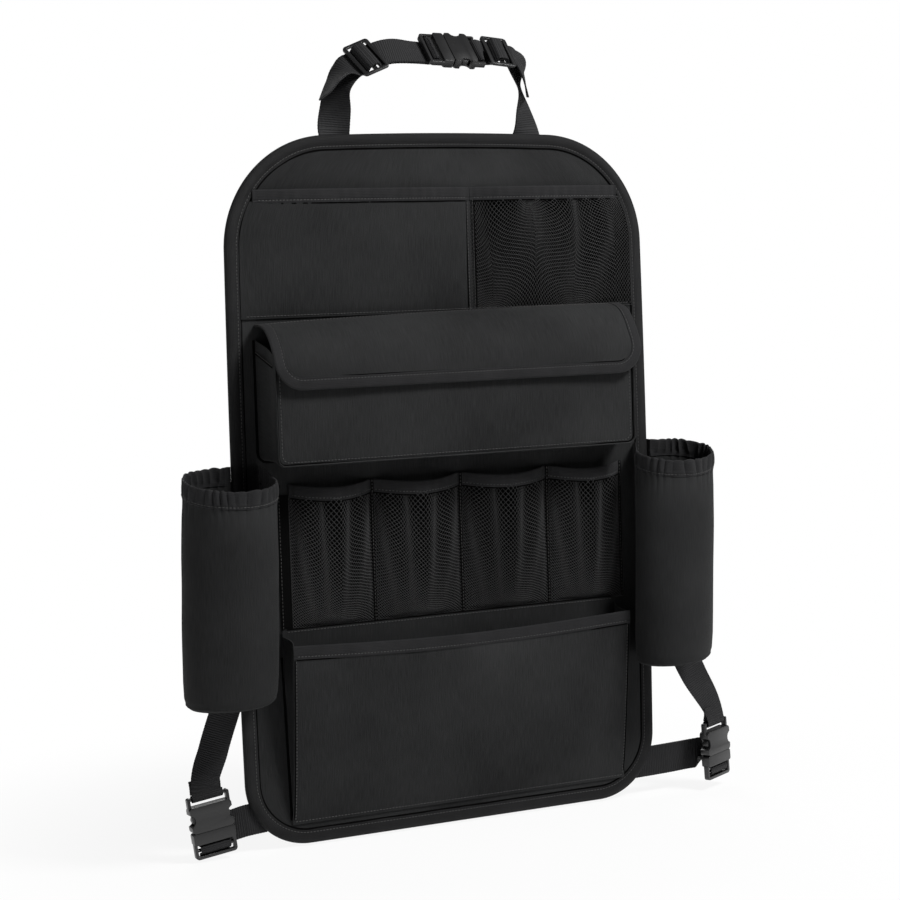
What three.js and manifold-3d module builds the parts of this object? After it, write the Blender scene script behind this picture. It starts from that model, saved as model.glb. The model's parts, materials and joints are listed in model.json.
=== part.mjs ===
// A car seat back organizer: a stiffened fabric panel with a slip pocket, a net pocket, a flap pocket, a row of four
// net pockets, a deep lower pocket, a bottle sleeve at each side, and webbing straps with side-release buckles.
// Millimetres. +Z is up, +X is to the right as seen from the front, and -Y is the front. The origin is the centre of
// the panel's back face.
import * as THREE from "three";
import { mergeVertices } from "three/addons/utils/BufferGeometryUtils.js";
import Module from "manifold-3d";

const wasm = await Module();
wasm.setup();

// Panel
const panelWidth = 400;
const panelHeight = 600;
const sideBow = 1.5;
const topRise = 1.5;
const topCornerRadius = 96;
const bottomCornerRadius = 58;
const backCoverThickness = 0.8;
const boardThickness = 2.6;
const frontCoverThickness = 1.6;
const bindingWidth = 12;
const bindingThickness = 1;

// Fabric, tape and fit
const fabricThickness = 1.2;
const netThickness = 0.9;
const tapeThickness = 1.9;
const tapeHeight = 11.5;
const gap = 0.3;
const seamAllowance = 3;

// Upper slip pocket and upper net pocket
const upperPocketTop = 253.5;
const upperPocketBottom = 148.5;
const upperDivider = 27;
const slipSlack = 7;
const upperNetSlack = 8;

// Flap pocket
const flapPocketBackWidth = 354;
const flapPocketFrontWidth = 342;
const flapPocketDepth = 34;
const flapPocketBackTop = 129;
const flapPocketFrontTop = 117;
const flapPocketBackBottom = 28;
const flapPocketFrontBottom = 24.5;
const flapPocketCornerRadius = 7;
const flapPocketFullness = 3.5;

// Flap
const flapWidth = 354;
const flapCentre = -4;
const flapSeamHeight = 145.6;
const flapLength = 79;
const flapCornerRadius = 25;
const flapThickness = 1.6;
const flapBindingWidth = 10;
const flapBindingThickness = 2.4;

// Row of four net pockets
const rowDividers = [-161, -75.5, 9, 95, 172];
const rowTop = 7.5;
const rowSag = 4;
const rowBottom = -116;
const rowSlack = 13;

// Lower pocket
const lowerWidth = 326;
const lowerTop = -125.5;
const lowerSag = 5;
const lowerBottom = -282;
const lowerDepth = 25;
const lowerFullness = 4;

// Bottle sleeves
const sleeveOffset = 13;
const sleeveAxisDepth = 35.5;
const sleeveHalfWidth = 40;
const sleeveHalfDepth = 30.5;
const sleeveTurn = 10;
const sleeveBottom = -173;
const sleeveRim = 16;
const sleeveRimSlope = 0.25;
const sleeveFullness = 1.04;
const hemHeight = 9;
const gatherCount = 24;
const gatherDepth = 1.3;
const sleeveSides = 30;
const sleeveBaseThickness = 2;

// Webbing and its plastic fittings
const webbingWidth = 28;
const webbingThickness = 1.4;
const barRadius = 1.5;
const buckleWidth = 37;
const buckleThickness = 9;
const buckleWall = 1.6;
const socketLength = 22;
const strapEndLength = 8;
const windowPlace = 11;
const windowRadius = 5.5;
const windowReach = 1.5;
const cavityEnd = 4;
const tongueWidth = 4.4;
const tongueClearance = 0.8;
const armRoot = 2;
const armInset = 3.4;
const armWidth = 3.4;
const headBulge = 1.8;
const headShoulder = 3.5;
const headTip = 6.4;
const headWidth = 5.6;
const mouthClearance = 1;
const baseLength = 10;
const ladderSlot = 3.6;
const railWidth = 2.6;
const ladderThickness = 4.4;
const sliderWidth = 37;
const sliderLength = 25;
const sliderThickness = 2.6;
const sliderBar = 3.4;
const ladderLength = 2 * (ladderSlot + barRadius) + railWidth;
const ladderBar = baseLength + ladderSlot + barRadius;
const socketBar = barRadius - socketLength - strapEndLength;
const windRadius = barRadius + gap + webbingThickness / 2;
const layerStep = webbingThickness + 0.4;

// Strap routes
const topStrapCentre = -5;
const topLegSpread = 92;
const topBucklePlace = 10.5;
const topBuckleHeight = 370;
const topStrapDepth = 7;
const topRunTilt = 45;
const leftSlider = { place: -67, height: topBuckleHeight - 7, slope: 0.4, forward: 0 };
const rightSlider = { place: 58, height: topBuckleHeight - 3, slope: -0.1, forward: 3.2 };
const leftTail = { reach: 28, fall: 15, forward: 6, look: [-0.6, -0.6, 0.5] };
const rightTail = { reach: 13, fall: 34, forward: 0, look: [0.87, -0.44, 0.18] };
const sideStrapDepth = 1.7;
const lowerStrapHeight = -268;
const leftSideStrap = { leaves: -143, barReach: 36, barHeight: -246, depth: 8.2, lean: -0.13, turned: 0 };
const rightSideStrap = { leaves: -105, barReach: 58, barHeight: -240, depth: 17, lean: 0.05, turned: 25 };

const faceDepth = backCoverThickness + boardThickness + frontCoverThickness;
const bindingFace = faceDepth + bindingThickness;
const degrees = Math.PI / 180;
const curveSegments = 9;

const fabric = { color: 0x2a2a2c, roughness: 0.9, metalness: 0 };
const tape = { color: 0x1d1d1f, roughness: 0.85, metalness: 0 };
const netting = { color: 0x161617, roughness: 0.8, metalness: 0 };
const webbing = { color: 0x202022, roughness: 0.85, metalness: 0 };
const plastic = { color: 0x19191a, roughness: 0.45, metalness: 0 };
const board = { color: 0x3a3a3c, roughness: 0.7, metalness: 0 };

const group = new THREE.Group();

function addPiece(name, geometry, finish, parent = group) {
  const mesh = new THREE.Mesh(geometry, new THREE.MeshStandardMaterial(finish));
  mesh.name = name;
  parent.add(mesh);
  return mesh;
}

function v(x, y, z) {
  return new THREE.Vector3(x, y, z);
}

function stripped(geometry) {
  const bare = geometry.clone();
  bare.deleteAttribute("normal");
  bare.deleteAttribute("uv");
  return mergeVertices(bare, 1e-5);
}

function toSolid(geometry) {
  const merged = stripped(geometry);
  return new wasm.Manifold(
    new wasm.Mesh({
      numProp: 3,
      vertProperties: new Float32Array(merged.attributes.position.array),
      triVerts: new Uint32Array(merged.index.array),
    }),
  );
}

function toGeometry(solid) {
  const mesh = solid.getMesh();
  const geometry = new THREE.BufferGeometry();
  geometry.setAttribute("position", new THREE.BufferAttribute(Float32Array.from(mesh.vertProperties), 3));
  geometry.setIndex(new THREE.BufferAttribute(Uint32Array.from(mesh.triVerts), 1));
  return geometry;
}

function join(...pieces) {
  return toGeometry(pieces.map(toSolid).reduce((a, b) => a.add(b)));
}

function cut(piece, ...tools) {
  return toGeometry(tools.map(toSolid).reduce((a, b) => a.subtract(b), toSolid(piece)));
}

// A closed sheet with thickness. surface(u, v, w) gives a point, with w 0 on the inner face and 1 on the outer one.
function sheet(surface, across, along, closed = false) {
  const positions = [];
  const index = [];
  const columns = closed ? across : across + 1;
  const at = (i, j, k) => (k * (along + 1) + j) * columns + (i % columns);
  for (const w of [0, 1]) {
    for (let j = 0; j <= along; j += 1) {
      for (let i = 0; i < columns; i += 1) {
        positions.push(...surface(i / across, j / along, w).toArray());
      }
    }
  }
  const quad = (a, b, c, d) => index.push(a, b, c, a, c, d);
  for (let i = 0; i < across; i += 1) {
    for (let j = 0; j < along; j += 1) {
      quad(at(i, j, 1), at(i + 1, j, 1), at(i + 1, j + 1, 1), at(i, j + 1, 1));
      quad(at(i, j, 0), at(i, j + 1, 0), at(i + 1, j + 1, 0), at(i + 1, j, 0));
    }
    quad(at(i, 0, 0), at(i + 1, 0, 0), at(i + 1, 0, 1), at(i, 0, 1));
    quad(at(i, along, 1), at(i + 1, along, 1), at(i + 1, along, 0), at(i, along, 0));
  }
  for (let j = 0; j < along && !closed; j += 1) {
    quad(at(0, j, 0), at(0, j, 1), at(0, j + 1, 1), at(0, j + 1, 0));
    quad(at(across, j, 1), at(across, j, 0), at(across, j + 1, 0), at(across, j + 1, 1));
  }
  return facingOut(positions, index);
}

function facingOut(positions, index) {
  let volume = 0;
  const corner = (n) => v(...positions.slice(3 * n, 3 * n + 3));
  for (let n = 0; n < index.length; n += 3) {
    volume += corner(index[n]).dot(corner(index[n + 1]).cross(corner(index[n + 2])));
  }
  const geometry = new THREE.BufferGeometry();
  geometry.setAttribute("position", new THREE.Float32BufferAttribute(positions, 3));
  geometry.setIndex(volume > 0 ? index : index.reverse());
  return geometry;
}

// Extrudes an outline drawn in X and Z from depth y0 back to depth y1, both counted forward from the back face.
function slab(shape, nearDepth, farDepth) {
  const geometry = new THREE.ExtrudeGeometry(shape, {
    depth: farDepth - nearDepth,
    bevelEnabled: false,
    curveSegments,
  });
  return geometry.rotateX(Math.PI / 2).translate(0, -nearDepth, 0);
}

function box(x0, x1, y0, y1, z0, z1) {
  const block = new THREE.BoxGeometry(x1 - x0, y1 - y0, z1 - z0);
  return block.translate((x0 + x1) / 2, (y0 + y1) / 2, (z0 + z1) / 2);
}

// The panel's outline, inset from its edge. Its sides bow a little and its top rises to the middle.
function panelOutline(inset) {
  const halfWidth = panelWidth / 2 - inset;
  const halfHeight = panelHeight / 2 - inset;
  const topRadius = topCornerRadius - inset;
  const bottomRadius = bottomCornerRadius - inset;
  const kappa = 0.5523;
  const shoulder = halfHeight - topRise - topRadius;
  const shape = new THREE.Shape();
  const hip = bottomRadius - halfHeight;
  shape.moveTo(-halfWidth + bottomRadius, -halfHeight);
  shape.lineTo(halfWidth - bottomRadius, -halfHeight);
  shape.absarc(halfWidth - bottomRadius, hip, bottomRadius, -Math.PI / 2, 0, false);
  shape.quadraticCurveTo(halfWidth + 2 * sideBow, (hip + shoulder) / 2, halfWidth, shoulder);
  shape.bezierCurveTo(
    halfWidth, shoulder + kappa * topRadius,
    halfWidth - topRadius + kappa * topRadius, halfHeight - topRise,
    halfWidth - topRadius, halfHeight - topRise,
  );
  shape.quadraticCurveTo(0, halfHeight + topRise, -halfWidth + topRadius, halfHeight - topRise);
  shape.bezierCurveTo(
    -halfWidth + topRadius - kappa * topRadius, halfHeight - topRise,
    -halfWidth, shoulder + kappa * topRadius,
    -halfWidth, shoulder,
  );
  shape.quadraticCurveTo(-halfWidth - 2 * sideBow, (hip + shoulder) / 2, -halfWidth, hip);
  shape.absarc(-halfWidth + bottomRadius, hip, bottomRadius, Math.PI, 1.5 * Math.PI, false);
  return shape;
}

// The space that the finished panel fills, for trimming what is sewn to its edge or face.
function panelSpace(sideClearance = gap, faceClearance = gap) {
  return slab(panelOutline(-sideClearance), -20, bindingFace + faceClearance);
}

function addPanel() {
  const layerInset = bindingThickness + gap;
  const boardFace = backCoverThickness + boardThickness;
  addPiece("back_cover", slab(panelOutline(bindingWidth + gap), 0, backCoverThickness), fabric);
  addPiece("stiffener_board", slab(panelOutline(layerInset), backCoverThickness, boardFace), board);
  addPiece("front_cover", slab(panelOutline(layerInset), boardFace, faceDepth), fabric);
  const ring = slab(panelOutline(0), 0, bindingFace);
  const layers = slab(panelOutline(bindingThickness), backCoverThickness, faceDepth);
  const middle = slab(panelOutline(bindingWidth), -1, bindingFace + 1);
  addPiece("edge_binding", cut(ring, layers, middle), tape);
}

// How full a slack pocket stands at a share u of its width, with its sides flat on the panel.
function fullness(u) {
  return Math.pow(Math.sin(Math.PI * Math.min(Math.max(u, 0), 1)), 0.7);
}

// Half the width inside the binding at a height, where the panel's corners narrow it.
const innerBorder = panelOutline(bindingWidth + gap).getPoints(curveSegments);

function innerHalfWidthAt(z) {
  let half = 0;
  innerBorder.forEach((point, n) => {
    const next = innerBorder[(n + 1) % innerBorder.length];
    if (point.y === next.y || (point.y - z) * (next.y - z) > 0) return;
    half = Math.max(half, point.x + ((next.x - point.x) * (z - point.y)) / (next.y - point.y));
  });
  return half;
}

// A flat-sewn pocket front between side seams, no wider than the binding leaves. heightAt(x) is its top edge, and
// its mouth stands out by slack.
function pocketSheet({ left, right, bottom, heightAt, slack, thickness, columns, rows, from = 0, rise = 0.6 }) {
  const standoff = (x, share, edge) => {
    const n = Math.max(right.findIndex((side) => x <= Math.min(side, edge) + 1e-6), 0);
    const start = Math.max(left[n], -edge) + seamAllowance;
    const end = Math.min(right[n], edge) - seamAllowance;
    return slack * fullness((x - start) / (end - start)) * Math.pow(share, rise);
  };
  return sheet(
    (u, t, w) => {
      const flatX = THREE.MathUtils.lerp(left[0], right.at(-1), u);
      const top = heightAt(flatX);
      const z = from ? top - from * (1 - t) : bottom + t * (top - tapeHeight - gap - bottom);
      const edge = innerHalfWidthAt(z);
      const x = THREE.MathUtils.lerp(Math.max(left[0], -edge), Math.min(right.at(-1), edge), u);
      const share = Math.max((z - bottom - seamAllowance) / (top - bottom - seamAllowance), 0);
      return v(x, -faceDepth - standoff(x, share, edge) - w * thickness, z);
    },
    columns,
    rows,
  );
}

function addPocket(name, tapeName, size, finish) {
  addPiece(name, pocketSheet({ ...size, rows: 6 }), finish);
  addPiece(tapeName, pocketSheet({ ...size, thickness: tapeThickness, rows: 1, from: tapeHeight }), tape);
}

function addUpperPockets() {
  const size = { bottom: upperPocketBottom, heightAt: () => upperPocketTop, columns: 12 };
  const slip = { left: [-panelWidth], right: [upperDivider], slack: slipSlack, thickness: fabricThickness };
  const net = { left: [upperDivider + gap], right: [panelWidth], slack: upperNetSlack, thickness: netThickness };
  addPocket("slip_pocket", "slip_pocket_binding", { ...size, ...slip }, fabric);
  addPocket("upper_net_pocket", "upper_net_binding", { ...size, ...net }, netting);
}

function addNetRow() {
  const left = rowDividers.slice(0, -1);
  const right = rowDividers.slice(1);
  const heightAt = (x) => {
    const n = Math.max(right.findIndex((edge) => x <= edge), 0);
    return rowTop - rowSag * Math.sin((Math.PI * (x - left[n])) / (right[n] - left[n]));
  };
  const size = { left, right, bottom: rowBottom, heightAt, slack: rowSlack, thickness: netThickness, columns: 32 };
  addPocket("net_row", "net_row_binding", { ...size, rise: 0.35 }, netting);
}

// The flap pocket's side wall: a strip that runs down one side, along the bottom and up the other side.
function flapPocketWall() {
  const route = (frontShare) => {
    const width = THREE.MathUtils.lerp(flapPocketBackWidth, flapPocketFrontWidth, frontShare);
    const top = THREE.MathUtils.lerp(flapPocketBackTop, flapPocketFrontTop, frontShare);
    const bottom = THREE.MathUtils.lerp(flapPocketBackBottom, flapPocketFrontBottom, frontShare);
    return { half: width / 2, top, bottom };
  };
  const corners = [-1, 1];
  const points = (share, inset) => {
    const { half, top, bottom } = route(share);
    const radius = flapPocketCornerRadius - inset;
    const side = half - inset;
    const floor = bottom + inset;
    const list = [v(-side, 0, top)];
    corners.forEach((way) => {
      for (let n = 0; n <= 4; n += 1) {
        const turn = (way < 0 ? n : 4 - n) * 22.5 * degrees;
        const x = way * (side - radius + radius * Math.cos(turn));
        list.push(v(x, 0, floor + radius - radius * Math.sin(turn)));
      }
    });
    list.push(v(side, 0, top));
    return list;
  };
  const count = points(0, 0).length - 1;
  return sheet(
    (u, share, w) => {
      const point = points(share, w * fabricThickness)[Math.round(u * count)];
      return point.setY(-faceDepth - share * flapPocketDepth);
    },
    count,
    4,
  );
}

function addFlapPocket() {
  addPiece("flap_pocket_wall", flapPocketWall(), fabric);
  const half = flapPocketFrontWidth / 2;
  const front = faceDepth + flapPocketDepth + gap;
  const hem = (z) => Math.min(1, (flapPocketFrontTop - z) / 12);
  const surface = (u, t, w) => {
    const z = flapPocketFrontBottom + t * (flapPocketFrontTop - flapPocketFrontBottom);
    const x = (2 * u - 1) * half;
    const swell = flapPocketFullness * fullness(u) * fullness(t) * Math.max(hem(z), 0);
    return v(x, -front - swell - w * fabricThickness, z);
  };
  addPiece("flap_pocket_front", sheet(surface, 12, 8), fabric);
}

// The flap's side view: out from its seam, over the pocket's mouth and down its front.
const flapProfile = new THREE.CatmullRomCurve3([
  v(0, -faceDepth - gap, flapSeamHeight),
  v(0, -faceDepth - 8, flapSeamHeight - 0.3),
  v(0, -faceDepth - 20, flapSeamHeight - 5),
  v(0, -faceDepth - 31, flapSeamHeight - 17),
  v(0, -faceDepth - flapPocketDepth - 6.5, flapSeamHeight - 35),
  v(0, -faceDepth - flapPocketDepth - 8.5, flapSeamHeight - 49),
  v(0, -faceDepth - flapPocketDepth - 8.5, flapSeamHeight - 60),
]);

function onFlap(x, distance, lift) {
  const share = Math.min(Math.max(distance / flapLength, 0), 1);
  const point = flapProfile.getPointAt(share);
  const along = flapProfile.getTangentAt(share);
  return v(flapCentre + x, point.y + along.z * lift, point.z - along.y * lift);
}

// Walks round the flap's two sides and lower edge, inset from its border.
function flapBorder(u, inset) {
  const half = flapWidth / 2 - inset;
  const radius = flapCornerRadius - inset;
  const low = flapLength - inset;
  const stretch = flapLength - flapCornerRadius;
  const sideShare = 0.2;
  const cornerShare = 0.15;
  const mirrored = u > 0.5 ? 1 - u : u;
  const sign = u > 0.5 ? 1 : -1;
  if (mirrored <= sideShare) {
    return [sign * half, (stretch * mirrored) / sideShare];
  }
  if (mirrored <= sideShare + cornerShare) {
    const turn = ((mirrored - sideShare) / cornerShare) * (Math.PI / 2);
    return [sign * (half - radius + radius * Math.cos(turn)), low - radius + radius * Math.sin(turn)];
  }
  const share = (mirrored - sideShare - cornerShare) / (0.5 - sideShare - cornerShare);
  return [sign * (half - radius) * (1 - share), low];
}

function addFlap() {
  const inset = flapBindingWidth + gap;
  const radius = flapCornerRadius - inset;
  const low = flapLength - inset;
  const body = (u, t, w) => {
    const distance = t * low;
    const drop = Math.max(distance - (low - radius), 0);
    const half = flapWidth / 2 - inset - radius + Math.sqrt(Math.max(radius * radius - drop * drop, 0));
    return onFlap((2 * u - 1) * half, distance, (w - 0.5) * flapThickness);
  };
  addPiece("flap", sheet(body, 6, 16), fabric);
  const border = (u, t, w) => {
    const [x, distance] = flapBorder(u, t * flapBindingWidth);
    return onFlap(x, distance, (w - 0.5) * flapBindingThickness);
  };
  addPiece("flap_binding", sheet(border, 50, 1), tape);
}

function lowerStandoff(z) {
  const seam = lowerBottom + seamAllowance;
  const share = Math.min(Math.max((z - seam) / (lowerTop - seam), 0), 1);
  return lowerDepth * Math.pow(share, 0.8);
}

function addLowerPocket() {
  const half = lowerWidth / 2;
  const topAt = (x) => lowerTop - lowerSag * Math.cos((Math.PI * x) / lowerWidth);
  const face = (x, z, thickness) => {
    const across = fullness((x + half) / lowerWidth);
    const upward = fullness((z - lowerBottom) / (lowerTop - lowerBottom));
    return -faceDepth - lowerStandoff(z) - lowerFullness * across * upward - thickness;
  };
  const front = (u, t, w) => {
    const x = (2 * u - 1) * half;
    const z = lowerBottom + t * (topAt(x) - tapeHeight - gap - lowerBottom);
    return v(x, face(x, z, w * fabricThickness), z);
  };
  addPiece("lower_pocket_front", sheet(front, 12, 8), fabric);
  const hem = (u, t, w) => {
    const x = (2 * u - 1) * half;
    const z = topAt(x) - tapeHeight * (1 - t);
    return v(x, face(x, z, w * tapeThickness), z);
  };
  addPiece("lower_pocket_binding", sheet(hem, 12, 1), tape);
  for (const [name, side] of [["lower_pocket_left_gusset", -1], ["lower_pocket_right_gusset", 1]]) {
    const gusset = (u, t, w) => {
      const z = lowerBottom + 14 + t * (lowerTop - tapeHeight - lowerBottom - 14);
      const depth = Math.max(lowerStandoff(z) - gap, 0.4);
      const fold = 3.2 * Math.sin(Math.PI * u) * Math.min(1, depth / 8);
      return v(side * (half - 0.6 - fold - w * fabricThickness), -faceDepth - u * depth, z);
    };
    addPiece(name, sheet(gusset, 4, 8), fabric);
  }
}

// A point on a bottle sleeve's oval, on the right side of the panel unless side is -1.
function sleevePoint(side, turn, scale, extra, z) {
  const along = (sleeveHalfWidth * scale + extra) * Math.cos(turn);
  const across = (sleeveHalfDepth * scale + extra) * Math.sin(turn);
  const tilt = sleeveTurn * degrees;
  const x = panelWidth / 2 + sleeveOffset + along * Math.cos(tilt) - across * Math.sin(tilt);
  const y = -sleeveAxisDepth + along * Math.sin(tilt) + across * Math.cos(tilt);
  return v(side * x, y, z);
}

function sleeveRimAt(side, turn) {
  return sleeveRim + sleeveRimSlope * (sleevePoint(side, turn, 1, 0, 0).y + sleeveAxisDepth);
}

const sleeveProfile = [
  [0.86, 0],
  [0.93, 0.012],
  [0.99, 0.045],
  [1.02, 0.12],
  [sleeveFullness, 0.4],
  [sleeveFullness, 0.7],
  [1.02, 0.9],
  [0.975, 1],
];

function addBottleSleeve(prefix, side) {
  const trim = panelSpace();
  const wall = (u, t, w) => {
    const turn = 2 * Math.PI * u;
    const [scale, share] = sleeveProfile[Math.round(t * (sleeveProfile.length - 1))];
    const top = sleeveRimAt(side, turn) - hemHeight - gap;
    return sleevePoint(side, turn, scale, -w * fabricThickness, sleeveBottom + share * (top - sleeveBottom));
  };
  addPiece(`${prefix}_bottle_sleeve`, cut(sheet(wall, sleeveSides, sleeveProfile.length - 1, true), trim), fabric);
  const hem = (u, t, w) => {
    const turn = 2 * Math.PI * u;
    const gather = gatherDepth * (0.5 + 0.5 * Math.cos(gatherCount * turn)) * (1 - 0.4 * t);
    const z = sleeveRimAt(side, turn) - hemHeight * (1 - t);
    return sleevePoint(side, turn, 0.985, 0.4 + gather - w * tapeThickness, z);
  };
  addPiece(`${prefix}_bottle_hem`, cut(sheet(hem, gatherCount * 3, 1, true), trim), fabric);
  const rim = Array.from({ length: sleeveSides }, (_, n) => {
    const turn = (2 * Math.PI * n) / sleeveSides;
    const point = sleevePoint(side, turn, sleeveProfile[0][0], -fabricThickness - gap, 0);
    return new THREE.Vector2(point.x, point.y);
  });
  const base = new THREE.ExtrudeGeometry(new THREE.Shape(rim), { depth: sleeveBaseThickness, bevelEnabled: false });
  addPiece(`${prefix}_bottle_base`, cut(remade(base.translate(0, 0, sleeveBottom)), trim), fabric);
}

function remade(geometry) {
  const flat = stripped(geometry);
  return facingOut(Array.from(flat.attributes.position.array), Array.from(flat.index.array));
}

// A webbing strap through a list of stations, each a place, the way its outer face looks and, at a mitred fold, the
// line of the fold.
function strap(stations) {
  const last = stations.length - 1;
  const frames = stations.map(({ place, look, fold }, n) => {
    const ahead = stations[Math.min(n + 1, last)].place.clone().sub(stations[Math.max(n - 1, 0)].place).normalize();
    const side = fold ?? ahead.clone().cross(look).normalize();
    const up = fold ? look.clone() : side.clone().cross(ahead).normalize();
    return { place, side, up };
  });
  return sheet(
    (u, t, w) => {
      const { place, side, up } = frames[Math.round(t * last)];
      const across = side.clone().multiplyScalar((u - 0.5) * webbingWidth);
      return place.clone().add(across).addScaledVector(up, (w - 0.5) * webbingThickness);
    },
    1,
    last,
  );
}

// Places along a fitting: reach runs along its axis and lift stands off its middle plane.
function fittingFrame(centre, axis, look) {
  const along = axis.clone().normalize();
  const side = along.clone().cross(look).normalize();
  const up = side.clone().cross(along).normalize();
  const at = (reach, lift, across = 0) =>
    centre.clone().addScaledVector(along, reach).addScaledVector(up, lift).addScaledVector(side, across);
  const station = (reach, lift) => ({ place: at(reach, lift), look: up.clone() });
  return { at, along, up, side, station };
}

// Half a turn of webbing round a bar. It comes in at the given lift side, passes the bar on the far side and leaves.
function halfTurn(frame, bar, way, fromSide) {
  return Array.from({ length: 7 }, (_, n) => {
    const turn = (n / 6) * Math.PI;
    const lift = fromSide * Math.cos(turn);
    const forward = way * Math.sin(turn);
    const look = frame.up.clone().multiplyScalar(lift).addScaledVector(frame.along, forward);
    return { place: frame.at(bar + forward * windRadius, lift * windRadius), look: look.multiplyScalar(fromSide) };
  });
}

function placeFitting(frame, name, geometry) {
  const basis = new THREE.Matrix4().makeBasis(frame.side, frame.along, frame.up);
  basis.setPosition(frame.at(0, 0));
  addPiece(name, remade(geometry.clone().applyMatrix4(basis)), plastic);
}

function roundedPlate(width, length, radius, y0) {
  const shape = new THREE.Shape();
  const half = width / 2;
  shape.moveTo(-half + radius, y0);
  shape.lineTo(half - radius, y0);
  shape.absarc(half - radius, y0 + radius, radius, -Math.PI / 2, 0, false);
  shape.lineTo(half, y0 + length - radius);
  shape.absarc(half - radius, y0 + length - radius, radius, 0, Math.PI / 2, false);
  shape.lineTo(-half + radius, y0 + length);
  shape.absarc(-half + radius, y0 + length - radius, radius, Math.PI / 2, Math.PI, false);
  shape.lineTo(-half, y0 + radius);
  shape.absarc(-half + radius, y0 + radius, radius, Math.PI, 1.5 * Math.PI, false);
  return shape;
}

function plate(shape, thickness) {
  const settings = { depth: thickness, bevelEnabled: false, curveSegments: 4 };
  return new THREE.ExtrudeGeometry(shape, settings).translate(0, 0, -thickness / 2);
}

function slot(width, y0, y1) {
  return box(-width / 2, width / 2, y0, y1, -buckleThickness, buckleThickness);
}

function roundBar(length, y) {
  return new THREE.CylinderGeometry(barRadius, barRadius, length, 10).rotateZ(Math.PI / 2).translate(0, y, 0);
}

// A tri-glide: a frame with two slots that leave a bar across its middle.
function sliderShape() {
  const opening = sliderWidth - 2 * railWidth;
  const reach = sliderLength / 2;
  const body = plate(roundedPlate(sliderWidth, sliderLength, 3, -reach), sliderThickness);
  const far = reach - sliderBar;
  return cut(body, slot(opening, sliderBar / 2, far), slot(opening, -far, -sliderBar / 2));
}

// The socket half, with its mouth at y 0 and one strap bar at its far end. Its sides are open for the latch heads.
function socketShape() {
  const shell = plate(roundedPlate(buckleWidth, socketLength, 3, -socketLength), buckleThickness);
  const cavityHalf = buckleThickness / 2 - buckleWall;
  const cavityWidth = buckleWidth - 2 * buckleWall;
  const cavity = box(-cavityWidth / 2, cavityWidth / 2, cavityEnd - socketLength, 1, -cavityHalf, cavityHalf);
  const windows = [-1, 1].map((side) => {
    const hole = new THREE.CylinderGeometry(windowRadius, windowRadius, 2 * buckleThickness, 14);
    return hole.rotateX(Math.PI / 2).translate(side * (buckleWidth / 2 + windowReach), -windowPlace, 0);
  });
  const reach = strapEndLength + 4;
  const end = plate(roundedPlate(buckleWidth, reach, barRadius, -socketLength - strapEndLength), ladderThickness);
  const opening = buckleWidth - 2 * railWidth;
  const space = slot(opening, -socketLength - strapEndLength - 1, -socketLength);
  const bar = roundBar(opening + railWidth, socketBar);
  return join(cut(shell, cavity, ...windows), cut(end, space), bar);
}

// The latch half: a base, a middle tongue, two sprung arms whose heads fill the windows, and a ladder for the strap.
function latchShape() {
  const inner = buckleThickness - 2 * buckleWall - 2 * gap;
  const base = plate(roundedPlate(buckleWidth, baseLength, 2, gap), buckleThickness - 1);
  const tongueHalf = inner / 2 - tongueClearance;
  const tongueEnd = cavityEnd + mouthClearance - socketLength;
  const tongue = box(-tongueWidth / 2, tongueWidth / 2, tongueEnd, armRoot, -tongueHalf, tongueHalf);
  const outerSide = buckleWidth / 2 - armInset;
  const innerSide = outerSide - armWidth;
  const arms = [-1, 1].map((side) => {
    const arm = new THREE.Shape();
    const to = (x, y) => [side * x, y - windowPlace];
    const rounded = (control, end) => arm.quadraticCurveTo(...to(...control), ...to(...end));
    arm.moveTo(side * outerSide, armRoot);
    arm.lineTo(...to(outerSide, headShoulder));
    rounded([outerSide + headBulge + 0.4, headShoulder - 1.5], [outerSide + headBulge, -mouthClearance]);
    rounded([outerSide, mouthClearance - headTip], [outerSide - armInset, -headTip]);
    arm.lineTo(...to(outerSide - headWidth, -headTip));
    rounded([outerSide - armInset - 0.8, mouthClearance], [innerSide, headTip]);
    arm.lineTo(side * innerSide, armRoot);
    return plate(arm, inner);
  });
  const ladder = plate(roundedPlate(buckleWidth, ladderLength + 3, 3, baseLength - 3), ladderThickness);
  const opening = buckleWidth - 2 * railWidth;
  const space = slot(opening, baseLength + gap, baseLength + ladderLength - railWidth);
  return join(base, tongue, ...arms, cut(ladder, space), roundBar(opening + railWidth, ladderBar));
}

function addBuckle(prefix, frame) {
  placeFitting(frame, `${prefix}_buckle_socket`, socketShape());
  placeFitting(frame, `${prefix}_buckle_latch`, latchShape());
}

// The two layers of webbing at a ladder's bar: in behind the end rail, round the bar and out behind the rail again.
function ladderWinding(frame) {
  const at = (reach, lift) => frame.station(ladderBar + reach, lift);
  const slotMiddle = barRadius + ladderSlot / 2;
  const rail = barRadius + ladderSlot;
  const beyondRail = rail + railWidth + 1;
  const under = ladderThickness / 2 + gap + webbingThickness / 2;
  const outermost = under + layerStep + 0.2;
  return {
    inward: [at(beyondRail, -outermost), at(rail + 0.5, -outermost - 0.1), at(slotMiddle - 0.7, -under - 1.1)],
    turn: halfTurn(frame, ladderBar, -1, -1),
    outward: [
      at(slotMiddle - 1.3, windRadius - 0.4),
      at(slotMiddle, 0),
      at(slotMiddle + 0.5, 0.4 - under),
      at(rail + 0.6, -under - 0.3),
      at(beyondRail, -under - 0.2),
    ],
  };
}

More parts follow.
